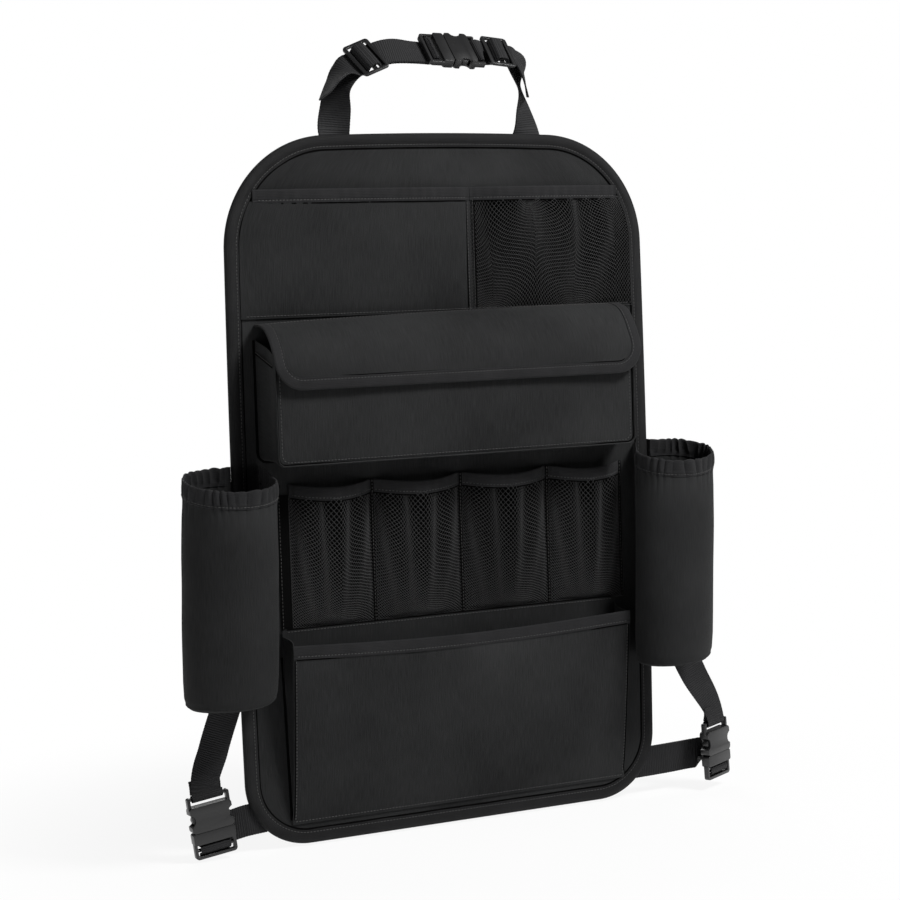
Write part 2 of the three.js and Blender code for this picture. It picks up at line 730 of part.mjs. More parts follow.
// The two layers at a slider: each goes behind the end bars and over the middle bar. The layers are 0 or 1 out.
function sliderLayer(slider, way, layer) {
  const nearest = sliderThickness / 2 + gap + 0.1 + webbingThickness / 2;
  const behind = -nearest - (1 - layer) * layerStep;
  const over = nearest + layer * layerStep;
  const end = sliderLength / 2;
  const clear = end + 2.5;
  const edge = end - sliderBar + 0.3;
  const dip = end - sliderBar - 1.7 + 0.4 * layer;
  const shoulder = 2.6 + layer;
  const half = [[clear, behind], [edge, behind], [dip, behind + 0.5], [shoulder, over - 0.3]];
  const mirrored = half.toReversed().map(([reach, lift]) => [-reach, lift]);
  return [...half, [0, over], ...mirrored].map(([reach, lift]) => slider.station(way * reach, lift));
}

// The strap's free end, which leaves the slider along its axis and falls as it turns.
function hangingTail(slider, { reach, fall, forward, look }) {
  const start = sliderLength / 2 + 4;
  return [0.35, 0.7, 1].map((share) => {
    const place = slider.at(start + reach * share, -2.4).add(v(0, -forward * share, -fall * share * share));
    return { place, look: slider.up.clone().lerp(v(...look), share) };
  });
}

function addTopStraps() {
  const tilt = topRunTilt * degrees;
  const runLook = v(0, -Math.cos(tilt), Math.sin(tilt));
  const buckle = fittingFrame(v(topBucklePlace, -topStrapDepth, topBuckleHeight), v(-1, 0, 0.03), runLook);
  addBuckle("top", buckle);
  const routes = [["left", -1, leftSlider, leftTail], ["right", 1, rightSlider, rightTail]];
  for (const [name, side, route, tail] of routes) {
    const centre = v(route.place, -topStrapDepth, route.height).addScaledVector(runLook, route.forward);
    const slider = fittingFrame(centre, v(side, 0, side * route.slope), runLook);
    placeFitting(slider, `top_${name}_slider`, sliderShape());
    const leg = (x, depth, z, look) => ({ place: v(topStrapCentre + side * x, -depth, panelHeight / 2 + z), look });
    const { inward, turn, outward } = side < 0 ? ladderWinding(buckle) : tightWinding(buckle);
    const stations = [
      leg(topLegSpread, faceDepth / 2, -20, v(0, -1, 0)),
      leg(topLegSpread, faceDepth / 2, 4, v(side * 0.26, -0.97, 0)),
      leg(topLegSpread - 2, faceDepth / 2, 20, v(side * 0.6, -0.8, 0.05)),
      leg(topLegSpread - 5, faceDepth / 2, 38, v(side * 0.8, -0.55, 0.25)),
      ...sliderLayer(slider, 1, 0).slice(0, side < 0 ? undefined : -1),
      ...inward,
      ...turn,
      ...outward,
      ...sliderLayer(slider, -1, 1).slice(side < 0 ? 0 : 1),
      ...hangingTail(slider, tail),
    ];
    addPiece(`top_${name}_strap`, cut(strap(stations), panelSpace()), webbing);
  }
}

// The turn round the socket's bar where a slider sits close beside it.
function tightWinding(frame) {
  return { inward: [], turn: halfTurn(frame, socketBar, 1, -1), outward: [] };
}

// The two layers at the socket's strap bar, which has no rail beyond it.
function endWinding(frame) {
  const at = (reach, lift) => frame.station(socketBar - reach, lift);
  const half = layerStep / 2;
  return {
    inward: [at(9, half), at(4, windRadius - 0.5)],
    turn: halfTurn(frame, socketBar, 1, 1),
    outward: [at(4, 0.5 - windRadius), at(9, -half)],
  };
}

function addSideStraps() {
  for (const [name, side, route] of [["left", -1, leftSideStrap], ["right", 1, rightSideStrap]]) {
    const { leaves, barReach, barHeight, depth, lean, turned } = route;
    const look = v(side * Math.sin(turned * degrees), -Math.cos(turned * degrees), 0);
    const along = v(side * lean, 0, -1).normalize();
    const bar = v(side * (panelWidth / 2 + barReach), -depth, barHeight);
    const buckle = fittingFrame(bar.clone().addScaledVector(along, -socketBar), along, look);
    addBuckle(name, buckle);
    const edge = v(side * (panelWidth / 2 + sideBow), -sideStrapDepth, leaves);
    const reach = v(bar.x, -sideStrapDepth, bar.z + 14).sub(edge);
    const on = (share) => ({ place: edge.clone().addScaledVector(reach, share), look: v(0, -1, 0) });
    const { inward, turn, outward } = endWinding(buckle);
    const back = buckle.station(socketBar - 24, -layerStep / 2);
    const upper = strap([on(-0.7), on(0.3), on(0.75), ...inward, ...turn, ...outward, back]);
    addPiece(`${name}_upper_strap`, cut(upper, panelSpace()), webbing);
    addPiece(`${name}_lower_strap`, cut(lowerStrap(side, buckle, depth), panelSpace()), webbing);
  }
}

// The lower strap leaves the panel's corner, folds on the slant behind the latch and winds over the ladder's bar.
function lowerStrap(side, buckle, depth) {
  const front = v(0, -1, 0);
  const nearSlot = ladderBar - barRadius - ladderSlot / 2;
  const slotPlace = buckle.at(nearSlot, 0);
  const foldPlace = v(slotPlace.x, -sideStrapDepth, slotPlace.z + webbingWidth / 2 + 1);
  const corner = v(side * (panelWidth / 2 - 40), -sideStrapDepth, lowerStrapHeight);
  const toward = foldPlace.clone().sub(corner);
  const fold = v(-side, 0, -1);
  const under = ladderThickness / 2 + gap + webbingThickness / 2;
  return strap([
    { place: corner, look: front },
    { place: corner.clone().addScaledVector(toward, 0.5), look: front },
    { place: foldPlace.clone().add(v(-side * (webbingWidth / 2 + 1), 0, 0)), look: front },
    { place: foldPlace, look: front, fold: fold.multiplyScalar(side) },
    buckle.station(nearSlot - 0.3, Math.max(sideStrapDepth - depth + 0.6, -9)),
    buckle.station(nearSlot + 0.2, -under),
    buckle.station(nearSlot + 0.2, 0),
    buckle.station(nearSlot + 0.9, windRadius - 0.4),
    buckle.station(ladderBar, windRadius),
    buckle.station(ladderBar + 1.9, windRadius - 0.4),
    buckle.station(ladderBar + barRadius + ladderSlot / 2, 0),
    buckle.station(ladderBar + barRadius + ladderSlot / 2 + 0.5, -under + 0.4),
    buckle.station(ladderBar + barRadius + ladderSlot + 0.6, -under - 0.3),
    buckle.station(ladderBar + barRadius + ladderSlot + railWidth, -under - 0.3),
  ]);
}

addPanel();
addUpperPockets();
addNetRow();
addFlapPocket();
addFlap();
addLowerPocket();
addBottleSleeve("left", -1);
addBottleSleeve("right", 1);
addTopStraps();
addSideStraps();

export default group;
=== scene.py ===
"""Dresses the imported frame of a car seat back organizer: cloth, tape, net, webbing and moulded buckles.

Lengths are in millimetres in the row's frame until a mesh is made, which is in metres.
+Z is up, +X is to the right as seen from the front, and -Y is the front.
"""

import json
import logging
import math
from collections.abc import Callable, Iterator, Sequence
from contextlib import contextmanager
from dataclasses import dataclass, field
from enum import Enum

import bmesh
import bpy
import numpy as np
from mathutils import Matrix, Vector

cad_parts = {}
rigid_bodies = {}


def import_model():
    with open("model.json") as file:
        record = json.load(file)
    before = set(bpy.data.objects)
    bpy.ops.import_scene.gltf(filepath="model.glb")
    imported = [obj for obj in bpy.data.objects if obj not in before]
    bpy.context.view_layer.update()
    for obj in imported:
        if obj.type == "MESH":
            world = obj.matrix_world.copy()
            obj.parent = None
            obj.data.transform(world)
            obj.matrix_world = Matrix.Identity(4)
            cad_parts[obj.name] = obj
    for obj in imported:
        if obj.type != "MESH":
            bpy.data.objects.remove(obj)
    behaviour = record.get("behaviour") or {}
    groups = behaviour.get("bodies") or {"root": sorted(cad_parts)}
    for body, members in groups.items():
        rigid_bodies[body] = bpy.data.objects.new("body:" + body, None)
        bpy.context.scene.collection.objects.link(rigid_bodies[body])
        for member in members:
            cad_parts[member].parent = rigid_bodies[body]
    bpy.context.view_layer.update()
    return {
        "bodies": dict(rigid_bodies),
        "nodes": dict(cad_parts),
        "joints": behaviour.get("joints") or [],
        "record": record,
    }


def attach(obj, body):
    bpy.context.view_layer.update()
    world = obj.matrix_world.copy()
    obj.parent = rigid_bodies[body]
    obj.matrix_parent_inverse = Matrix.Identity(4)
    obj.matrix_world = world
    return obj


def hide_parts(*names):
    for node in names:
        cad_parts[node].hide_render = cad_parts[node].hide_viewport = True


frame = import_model()

LOG = logging.getLogger("organizer")
MM = 0.001
Sags = tuple[Sequence[float], Sequence[float]]
Surface = Callable[[np.ndarray, np.ndarray], np.ndarray]


class Side(Enum):
    """Which side of the panel a piece is on, as a sign of X."""

    LEFT = -1
    RIGHT = 1

    @property
    def word(self) -> str:
        """The side's name as the nodes write it."""
        return self.name.lower()


class Slot(Enum):
    """The record's material slots."""

    CLOTH = "cloth"
    BOARD = "board"
    TAPE = "tape"
    NET = "net"
    WEBBING = "webbing"
    PLASTIC = "plastic"


def smooth(share: np.ndarray) -> np.ndarray:
    """Eases from 0 to 1 with level ends."""
    held = np.clip(share, 0.0, 1.0)
    return held * held * (3.0 - 2.0 * held)


def lumps(u: np.ndarray, v: np.ndarray, seed: int, waves: int = 5) -> np.ndarray:
    """Gentle irregular waves from about -1 to 1, the same on every run.

    Args:
        u: Places along the first direction, in waves.
        v: Places along the second direction, in waves.
        seed: Picks one pattern.
        waves: How many waves are added.

    Returns:
        One height for each place.
    """
    chance = np.random.default_rng(seed)
    total = np.zeros_like(u, dtype=float)
    for _ in range(waves):
        turn = chance.uniform(0.0, math.tau)
        scale = chance.uniform(0.6, 1.7)
        start = chance.uniform(0.0, math.tau)
        total += np.sin(math.tau * scale * (u * math.cos(turn) + v * math.sin(turn)) + start)
    return total / math.sqrt(waves) / 1.4


def unit(rows: np.ndarray) -> np.ndarray:
    """The rows at a length of 1."""
    return rows / (np.linalg.norm(rows, axis=1)[:, None] + 1e-9)


def reaches(points: np.ndarray) -> np.ndarray:
    """How far along a path each of its points is."""
    return np.concatenate([[0.0], np.cumsum(np.linalg.norm(np.diff(points, axis=0), axis=1))])


def at_reach(rows: np.ndarray, reach: np.ndarray, where: np.ndarray) -> np.ndarray:
    """Rows that go with a path's points, at distances along it."""
    return np.stack([np.interp(where, reach, rows[:, k]) for k in range(rows.shape[1])], axis=1)


def along_polyline(points: np.ndarray, share: np.ndarray) -> np.ndarray:
    """Points at shares of a polyline's length."""
    reach = reaches(points)
    return at_reach(points, reach, np.clip(share, 0.0, 1.0) * reach[-1])


def heading(points: np.ndarray, share: np.ndarray, step: float) -> np.ndarray:
    """The way that a polyline goes at shares of its length."""
    return unit(along_polyline(points, share + step) - along_polyline(points, share - step))


def round_foot(half: float, top: float, low: float, corner: float, steps: int) -> np.ndarray:
    """The way down one side, round both corners at the far end and up the other side."""
    turn = np.linspace(0.0, math.pi / 2, steps)
    rise = math.copysign(corner, top - low)
    left = np.stack([-half + corner * (1 - np.cos(turn)), low + rise * (1 - np.sin(turn))], axis=1)
    right = left[::-1] * np.array([-1.0, 1.0])
    return np.concatenate([[[-half, top]], left, right, [[half, top]]])


def select_only(*pieces: bpy.types.Object) -> None:
    """Selects these objects alone and makes the last one active."""
    bpy.ops.object.select_all(action="DESELECT")
    for piece in pieces:
        piece.select_set(True)
        bpy.context.view_layer.objects.active = piece


def apply_modifier(piece: bpy.types.Object, kind: str, **settings: object) -> None:
    """Adds one modifier with its settings and applies it."""
    select_only(piece)
    modifier = piece.modifiers.new(kind.title(), kind)
    for name, value in settings.items():
        setattr(modifier, name, value)
    bpy.ops.object.modifier_apply(modifier=modifier.name)


def co_of(piece: bpy.types.Object) -> np.ndarray:
    """The mesh's vertices as rows, in metres."""
    flat = np.empty(len(piece.data.vertices) * 3)
    piece.data.vertices.foreach_get("co", flat)
    return flat.reshape(-1, 3)


def set_co(piece: bpy.types.Object, rows: np.ndarray) -> None:
    """Moves the mesh's vertices to these rows, in metres."""
    piece.data.vertices.foreach_set("co", np.ascontiguousarray(rows, dtype=float).ravel())
    piece.data.update()


def write_pattern_map(piece: bpy.types.Object, places: np.ndarray) -> None:
    """Writes the piece's own UV map, whose unit is a metre along the cloth.

    Args:
        piece: The mesh.
        places: For each vertex, its place across and along the cut, in millimetres.
    """
    layer = piece.data.uv_layers.active or piece.data.uv_layers.new(name="Cut")
    layer.name = "Cut"
    loops = np.empty(len(piece.data.loops), dtype=np.int32)
    piece.data.loops.foreach_get("vertex_index", loops)
    layer.data.foreach_set("uv", (places[loops] * MM).ravel())


@contextmanager
def edited(piece: bpy.types.Object) -> Iterator[bmesh.types.BMesh]:
    """Opens a piece's mesh for editing and writes it back."""
    made = bmesh.new()
    made.from_mesh(piece.data)
    yield made
    made.to_mesh(piece.data)
    made.free()


def smoothed(piece: bpy.types.Object, angle: float = 180.0) -> bpy.types.Object:
    """Shades a piece smooth, apart from edges that are sharper than an angle in degrees."""
    select_only(piece)
    if angle < 180.0:
        bpy.ops.object.shade_smooth_by_angle(angle=math.radians(angle))
    else:
        bpy.ops.object.shade_smooth()
    return piece


def from_faces(name: str, rows: np.ndarray, faces: list[list[int]]) -> bpy.types.Object:
    """Makes a piece from its vertices in millimetres and its faces."""
    mesh = bpy.data.meshes.new(name)
    mesh.from_pydata((rows * MM).tolist(), [], faces)
    piece = bpy.data.objects.new(name, mesh)
    bpy.context.scene.collection.objects.link(piece)
    return piece


def recalculated(piece: bpy.types.Object, merge: float = 0.0) -> None:
    """Merges doubles and turns the faces outwards.

    Args:
        piece: The mesh.
        merge: Vertices closer than this are merged, in millimetres.
    """
    with edited(piece) as made:
        if merge:
            bmesh.ops.remove_doubles(made, verts=made.verts, dist=merge * MM)
        bmesh.ops.recalc_face_normals(made, faces=made.faces)


@dataclass
class Cut:
    """A flat cut of cloth that a surface bends into place.

    Attributes:
        name: The piece's name.
        columns: Faces across.
        rows: Faces along.
        across: The cut's width in millimetres, for its pattern.
        along: The cut's length in millimetres, for its pattern.
        thickness: The cloth's thickness in millimetres, or 0 for a bare sheet.
        wrapped: Whether the two sides meet, as in a tube.
        offset: Which side the thickness grows to, as in a Solidify modifier.
    """

    name: str
    columns: int
    rows: int
    across: float
    along: float
    thickness: float = 0.0
    wrapped: bool = False
    offset: float = 1.0

    def lay(self, surface: Surface) -> bpy.types.Object:
        """Makes the cloth from a primitive grid.

        Args:
            surface: Gives rows of X, Y and Z for shares across and along.

        Returns:
            The finished object, at the origin.
        """
        bpy.ops.object.select_all(action="DESELECT")
        bpy.ops.mesh.primitive_grid_add(x_subdivisions=self.columns, y_subdivisions=self.rows, size=2)
        piece = bpy.context.active_object
        piece.name = self.name
        piece.data.name = self.name
        flat = (co_of(piece) + 1.0) / 2.0
        u, v = flat[:, 0], flat[:, 1]
        set_co(piece, surface(u, v) * MM)
        write_pattern_map(piece, np.stack([u * self.across, v * self.along], axis=1))
        if self.wrapped:
            recalculated(piece, 0.01)
        if self.thickness:
            apply_modifier(
                piece, "SOLIDIFY", thickness=self.thickness * MM, offset=self.offset, use_even_offset=True
            )
        return smoothed(piece, 50)


@dataclass(frozen=True)
class Thread:
    """The sewing thread and how it is stitched.

    Attributes:
        finish: The thread's own finish.
        valley: The near-black finish of the strips that paint the shade in the creases beside seams.
        pitch: From one stitch to the next, in millimetres.
        length: How much of the pitch shows as thread.
        radius: Half the thread's width.
        sides: Facets round a stitch.
    """

    finish: bpy.types.Material
    valley: bpy.types.Material
    pitch: float = 3.0
    length: float = 2.3
    radius: float = 0.32
    sides: int = 6

    def along(
        self, path: np.ndarray, out: np.ndarray | None, where: np.ndarray, half: float
    ) -> tuple[np.ndarray, np.ndarray, np.ndarray, np.ndarray]:
        """Follows a seam.

        Args:
            path: Points along the seam, in millimetres.
            out: For each point, the cloth's outward direction, or None for the front.
            where: Distances along the seam.
            half: Half the stretch that gives the seam's direction.

        Returns:
            The places, and there the ways ahead, aside and up.
        """
        reach = reaches(path)
        out = np.tile([0.0, -1.0, 0.0], (len(path), 1)) if out is None else out
        ahead = unit(at_reach(path, reach, where + half) - at_reach(path, reach, where - half))
        up = at_reach(out, reach, where)
        up = unit(up - ahead * np.sum(up * ahead, axis=1)[:, None])
        return at_reach(path, reach, where), ahead, np.cross(up, ahead), up

    def crease(
        self,
        name: str,
        path: np.ndarray,
        out: np.ndarray | None = None,
        beside: float = 0.0,
        sink: float = 0.0,
        width: float = 1.3,
    ) -> None:
        """Lays a near-black strip beside a seam: painted shade for the crease there.

        Args:
            name: The piece's name.
            path: Points along the seam, in millimetres.
            out: For each point, the cloth's outward direction, or None for the front.
            beside: How far to the left of the seam the strip of painted shade is, as seen from outside.
            sink: How far under the path it lies.
            width: The strip's width.
        """
        length = reaches(path)[-1]

        def surface(u: np.ndarray, v: np.ndarray) -> np.ndarray:
            """A narrow strip beside the path."""
            place, _, side, up = self.along(path, out, u * length, 0.8)
            return place + side * (beside + (v - 0.5) * width)[:, None] - up * sink

        strip = Cut(name, max(int(length / 3.0), 8), 2, length, width, 0.3, offset=0.0).lay(surface)
        # The strip is near-black: a painted shade for the crease beside the seam.
        dress(strip, self.valley, Slot.TAPE)

    def one(self) -> tuple[np.ndarray, np.ndarray]:
        """One stitch along X as vertices and quads: a round thread that dips into the cloth at both ends."""
        bpy.ops.object.select_all(action="DESELECT")
        bpy.ops.mesh.primitive_cylinder_add(vertices=self.sides, radius=self.radius, depth=self.length)
        stitch = bpy.context.active_object
        bpy.ops.object.mode_set(mode="EDIT")
        for way in (1, -1):
            bpy.ops.mesh.select_all(action="SELECT")
            bpy.ops.mesh.bisect(plane_co=(0, 0, way * self.length * 0.3), plane_no=(0, 0, 1))
        bpy.ops.object.mode_set(mode="OBJECT")
        rows = co_of(stitch)[:, [2, 0, 1]]
        ends = np.abs(rows[:, 0]) > self.length * 0.4
        rows[ends, 1:] *= 0.45
        rows[ends, 2] -= self.radius
        faces = [list(face.vertices) for face in stitch.data.polygons]
        bpy.data.objects.remove(stitch)
        return rows, faces

    def sew(
        self,
        name: str,
        path: np.ndarray,
        out: np.ndarray | None = None,
        beside: float = 0.0,
        sink: float = 0.0,
    ) -> None:
        """Sews a line of stitches along a path.

        Args:
            name: The piece's name.
            path: Points along the seam, in millimetres.
            out: For each point, the cloth's outward direction, or None for the front.
            beside: How far to the left a strip of painted shade is laid, or 0 for none.
            sink: How far under the stitches that strip lies.
        """
        # Beside the stitches, a near-black strip paints the shade of the seam's crease.
        if beside:
            self.crease(name.replace("stitches", "valley"), path, out, beside, sink)
        length = reaches(path)[-1]
        count = max(int(length / self.pitch), 1)
        middles = (np.arange(count) + 0.5) * length / count
        centres, *ways = self.along(path, out, middles, self.length / 2)
        rows, faces = self.one()
        every = (centres + ways[2] * 0.1)[:, None, :]
        for k, way in enumerate(ways):
            every = every + rows[None, :, k : k + 1] * way[:, None, :]
        quads = [[corner + n * len(rows) for corner in face] for n in range(count) for face in faces]
        piece = from_faces(name, every.reshape(-1, 3), quads)
        recalculated(piece)
        dress(smoothed(piece), self.finish, Slot.TAPE)

    def sew_mouth(self, name: str, edge: Surface, margin: float, count: int, sink: float = 0.35) -> None:
        """Sews the lower edge of a mouth's tape, from a margin at one end to the same at the other, with a strip
        of painted shade beside the stitches.
        """
        u = np.linspace(margin, 1 - margin, count)
        path = edge(u, np.full_like(u, 2.2)) - np.array([0.0, 1.4, 0.0])
        self.sew(name, path, beside=-2.7, sink=sink)


def feed(tree: bpy.types.NodeTree, socket: bpy.types.NodeSocket, value: object) -> None:
    """Links a socket to a socket, or sets it to a value."""
    if isinstance(value, bpy.types.NodeSocket):
        tree.links.new(value, socket)
    else:
        socket.default_value = value


def add_node(
    tree: bpy.types.NodeTree, kind: str, inputs: dict[str | int, object] | None = None, **settings: object
) -> bpy.types.Node:
    """Adds a shader node.

    Args:
        tree: The tree that it goes into.
        kind: Its type without the prefix.
        inputs: A socket or a value for each named or numbered input.
        settings: The node's own properties, which are set first.

    Returns:
        The node.
    """
    made = tree.nodes.new(f"ShaderNode{kind}")
    for name, value in settings.items():
        setattr(made, name, value)
    for name, value in (inputs or {}).items():
        feed(tree, made.inputs[name], value)
    return made


class ShaderGroup:
    """A shader node group with named inputs and outputs, built once and placed in several materials."""

    def __init__(self, name: str) -> None:
        """Starts an empty group with a vector input."""
        self.tree = bpy.data.node_groups.new(name, "ShaderNodeTree")
        self.inputs = self.tree.nodes.new("NodeGroupInput")
        self.outputs = self.tree.nodes.new("NodeGroupOutput")
        self.add_input("Vector", "NodeSocketVector")

    def add_input(self, name: str, kind: str = "NodeSocketFloat", value: float | None = None) -> None:
        """Adds a named input with its default value."""
        socket = self.tree.interface.new_socket(name=name, in_out="INPUT", socket_type=kind)
        if value is not None:
            socket.default_value = value

    def add_output(self, name: str, source: bpy.types.NodeSocket) -> None:
        """Adds a named output and feeds it."""
        self.tree.interface.new_socket(name=name, in_out="OUTPUT", socket_type="NodeSocketFloat")
        self.tree.links.new(source, self.outputs.inputs[name])

    def math(self, operation: str, *values: object) -> bpy.types.NodeSocket:
        """Adds a Math node fed by sockets or numbers and gives its output."""
        return add_node(self.tree, "Math", dict(enumerate(values)), operation=operation).outputs[0]

    def vector(self, *parts: object) -> bpy.types.NodeSocket:
        """Combines two or three sockets or numbers."""
        return add_node(self.tree, "CombineXYZ", dict(enumerate(parts))).outputs[0]

    def parts(self) -> tuple[bpy.types.NodeSocket, ...]:
        """The incoming vector's X, Y and Z."""
        return tuple(add_node(self.tree, "SeparateXYZ", {0: self.inputs.outputs["Vector"]}).outputs)

    def noise(self, vector: object, scale: object, detail: float = 2.0) -> bpy.types.NodeSocket:
        """Adds a noise texture and gives its value."""
        inputs = {"Vector": vector, "Scale": scale, "Detail": detail}
        return add_node(self.tree, "TexNoise", inputs).outputs["Fac"]

    def waves(self, along: object, pitch: object) -> bpy.types.NodeSocket:
        """A sine from 0 to 1 that repeats with a pitch."""
        turns = self.math("MULTIPLY", self.math("DIVIDE", along, pitch), math.tau)
        return self.math("MULTIPLY_ADD", self.math("SINE", turns), 0.5, 0.5)


def weave_group() -> bpy.types.NodeTree:
    """Fine twill with uneven warp yarns: Height for a bump and Shade for the colour."""
    group = ShaderGroup("Fine twill")
    group.add_input("Yarn", value=0.55 * MM)
    group.add_input("Slub", value=1.0)
    x, y, _ = group.parts()
    yarn = group.inputs.outputs["Yarn"]
    slub = group.inputs.outputs["Slub"]
    twill = group.waves(group.math("ADD", x, y), group.math("MULTIPLY", yarn, 1.8))
    warp = group.waves(x, yarn)
    streaks = group.noise(group.vector(group.math("MULTIPLY", x, 16.0), y), 75.0, 2.0)
    cloudy = group.noise(group.vector(x, y, 0.9), 8.0, 3.0)
    uneven = group.math("MULTIPLY", group.math("SUBTRACT", streaks, 0.5), slub)
    crossing = group.math("MULTIPLY_ADD", twill, 0.7, group.math("MULTIPLY", warp, 0.3))
    group.add_output("Height", group.math("ADD", crossing, uneven))
    shade = group.math("MULTIPLY_ADD", uneven, 0.75, group.math("MULTIPLY", crossing, 0.35))
    group.add_output("Shade", group.math("ADD", shade, group.math("MULTIPLY_ADD", cloudy, 1.5, -0.45)))
    return group.tree


def rib_group() -> bpy.types.NodeTree:
    """Cross ribs with finer yarns between them, as on binding tape and webbing."""
    group = ShaderGroup("Cross ribs")
    group.add_input("Rib", value=1.0 * MM)
    group.add_input("Yarn", value=0.5 * MM)
    x, y, _ = group.parts()
    wander = group.noise(group.vector(x, y), 160.0, 2.0)
    moved = group.math("MULTIPLY_ADD", wander, 0.5 * MM, y)
    ribs = group.waves(moved, group.inputs.outputs["Rib"])
    yarns = group.waves(x, group.inputs.outputs["Yarn"])
    cloudy = group.noise(group.vector(x, y, 0.5), 45.0, 3.0)
    group.add_output("Height", group.math("MULTIPLY_ADD", yarns, 0.35, ribs))
    shade = group.math("MULTIPLY_ADD", ribs, 0.45, group.math("MULTIPLY", yarns, 0.15))
    group.add_output("Shade", group.math("MULTIPLY_ADD", cloudy, 0.5, group.math("SUBTRACT", shade, 0.05)))
    return group.tree


def moulded_group() -> bpy.types.NodeTree:
    """The fine grain, flow marks and rubbed patches of moulded plastic."""
    group = ShaderGroup("Moulded skin")
    group.add_input("Grain", value=2600.0)
    vector = group.inputs.outputs["Vector"]
    group.add_output("Height", group.noise(vector, group.inputs.outputs["Grain"]))
    group.add_output("Shade", group.noise(vector, 60.0, 3.0))
    return group.tree


@dataclass(frozen=True)
class Finish:
    """One finish: a Principled shader whose colour and bump follow a node group.

    Attributes:
        name: The material's name.
        dark: The colour in the hollows, linear.
        light: The colour on the crowns, linear.
        rough: Roughness in the hollows and on the crowns.
        sheen: Sheen weight of cloth.
        specular: The specular level.
        bump: How deep the pattern is, in millimetres.
        values: The group's own inputs.
        by_cut: Whether the pattern follows the piece's own UV map, not its place.
    """

    name: str
    dark: tuple[float, float, float]
    light: tuple[float, float, float]
    rough: tuple[float, float] = (0.9, 0.8)
    sheen: float = 0.0
    specular: float = 0.3
    bump: float = 0.1
    values: dict[str, float] = field(default_factory=dict)
    by_cut: bool = True

    def build(self, group: bpy.types.NodeTree) -> bpy.types.Material:
        """Makes the material around a placed node group."""
        material = bpy.data.materials.new(self.name)
        material.use_nodes = True
        tree = material.node_tree
        shader = next(n for n in tree.nodes if n.type == "BSDF_PRINCIPLED")
        if self.by_cut:
            place = add_node(tree, "UVMap", uv_map="Cut").outputs["UV"]
        else:
            place = add_node(tree, "TexCoord").outputs["Object"]
        pattern = add_node(tree, "Group", {"Vector": place, **self.values}, node_tree=group)
        shade, height = pattern.outputs["Shade"], pattern.outputs["Height"]
        colours = {"Factor": shade, "A": (*self.dark, 1.0), "B": (*self.light, 1.0)}
        colour = add_node(tree, "Mix", colours, data_type="RGBA")
        rough = add_node(tree, "MapRange", {"Value": shade, "To Min": self.rough[0], "To Max": self.rough[1]})
        bump = add_node(tree, "Bump", {"Height": height, "Distance": self.bump * MM, "Strength": 1.0})
        inputs = {
            "Base Color": colour.outputs["Result"], "Roughness": rough.outputs["Result"],
            "Normal": bump.outputs["Normal"], "Sheen Weight": self.sheen, "Sheen Roughness": 0.45,
            "Specular IOR Level": self.specular,
        }
        for name, value in inputs.items():
            feed(tree, shader.inputs[name], value)
        return material


class Finishes:
    """Every finish of the organizer, built once."""

    def __init__(self) -> None:
        """Builds the node groups and the materials."""
        weave, ribs, skin = weave_group(), rib_group(), moulded_group()
        cloth = {"Yarn": 0.6 * MM, "Slub": 1.0}
        ribbed = {"Rib": 0.9 * MM, "Yarn": 1.4 * MM}
        fine = {"Yarn": 0.3 * MM, "Slub": 0.4}
        self.cloth = Finish(
            "woven_polyester", (0.0095, 0.0098, 0.0101), (0.0295, 0.0302, 0.0308), (0.9, 0.7), 0.04, 0.16, 0.14,
            cloth,
        ).build(weave)
        # The sleeves' cloth is the panel's cloth darkened: painted shade for the light that falls off round the
        # sleeves.
        self.sleeve = Finish(
            "shaded_sleeve_polyester", (0.0075, 0.0077, 0.008), (0.0235, 0.024, 0.0245), (0.9, 0.65), 0.03, 0.18, 0.14,
            cloth,
        ).build(weave)
        self.tape = Finish(
            "binding_tape", (0.006, 0.006, 0.0065), (0.026, 0.026, 0.0275), (0.85, 0.6), 0.04, 0.2, 0.22,
            ribbed,
        ).build(ribs)
        self.edging = Finish(
            "edge_binding_tape", (0.003, 0.003, 0.0034), (0.0148, 0.0148, 0.0155), (0.8, 0.58), 0.02, 0.22, 0.22,
            ribbed,
        ).build(ribs)
        self.webbing = Finish(
            "webbing", (0.005, 0.005, 0.0055), (0.020, 0.020, 0.0215), (0.8, 0.6), 0.04, 0.25, 0.25,
            {"Rib": 1.7 * MM, "Yarn": 1.1 * MM},
        ).build(ribs)
        self.net = Finish(
            "net_yarn", (0.016, 0.016, 0.0165), (0.060, 0.060, 0.061), (0.6, 0.45), 0.03, 0.4, 0.05,
            {"Yarn": 0.35 * MM, "Slub": 0.5}, by_cut=False,
        ).build(weave)
        self.thread = Finish(
            "sewing_thread", (0.030, 0.030, 0.031), (0.075, 0.074, 0.072), (0.6, 0.45), 0.0, 0.5, 0.05,
            fine, by_cut=False,
        ).build(weave)
        # Near-black finish that paints shade: the strips in seam creases and the sheets behind the nets.
        self.valley = Finish(
            "seam_valley", (0.001, 0.001, 0.001), (0.003, 0.003, 0.003), (0.95, 0.9), 0.0, 0.05, 0.05,
            fine, by_cut=False,
        ).build(weave)
        self.plastic = Finish(
            "moulded_plastic", (0.0055, 0.0055, 0.006), (0.009, 0.009, 0.0095), (0.28, 0.4), 0.0, 0.6, 0.012,
            {"Grain": 2600.0}, by_cut=False,
        ).build(skin)
        self.board = Finish(
            "stiffener", (0.04, 0.04, 0.042), (0.06, 0.06, 0.062), (0.6, 0.7), 0.0, 0.4, 0.02,
            {"Grain": 900.0}, by_cut=False,
        ).build(skin)


def dress(piece: bpy.types.Object, material: bpy.types.Material, slot: Slot, *nodes: str) -> bpy.types.Object:
    """Gives a piece its material, body and slot, and names the nodes that it stands for."""
    piece.data.materials.clear()
    piece.data.materials.append(material)
    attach(piece, "root")
    if nodes:
        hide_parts(*nodes)
    LOG.info("%s: %d faces", piece.name, len(piece.data.polygons))
    return piece


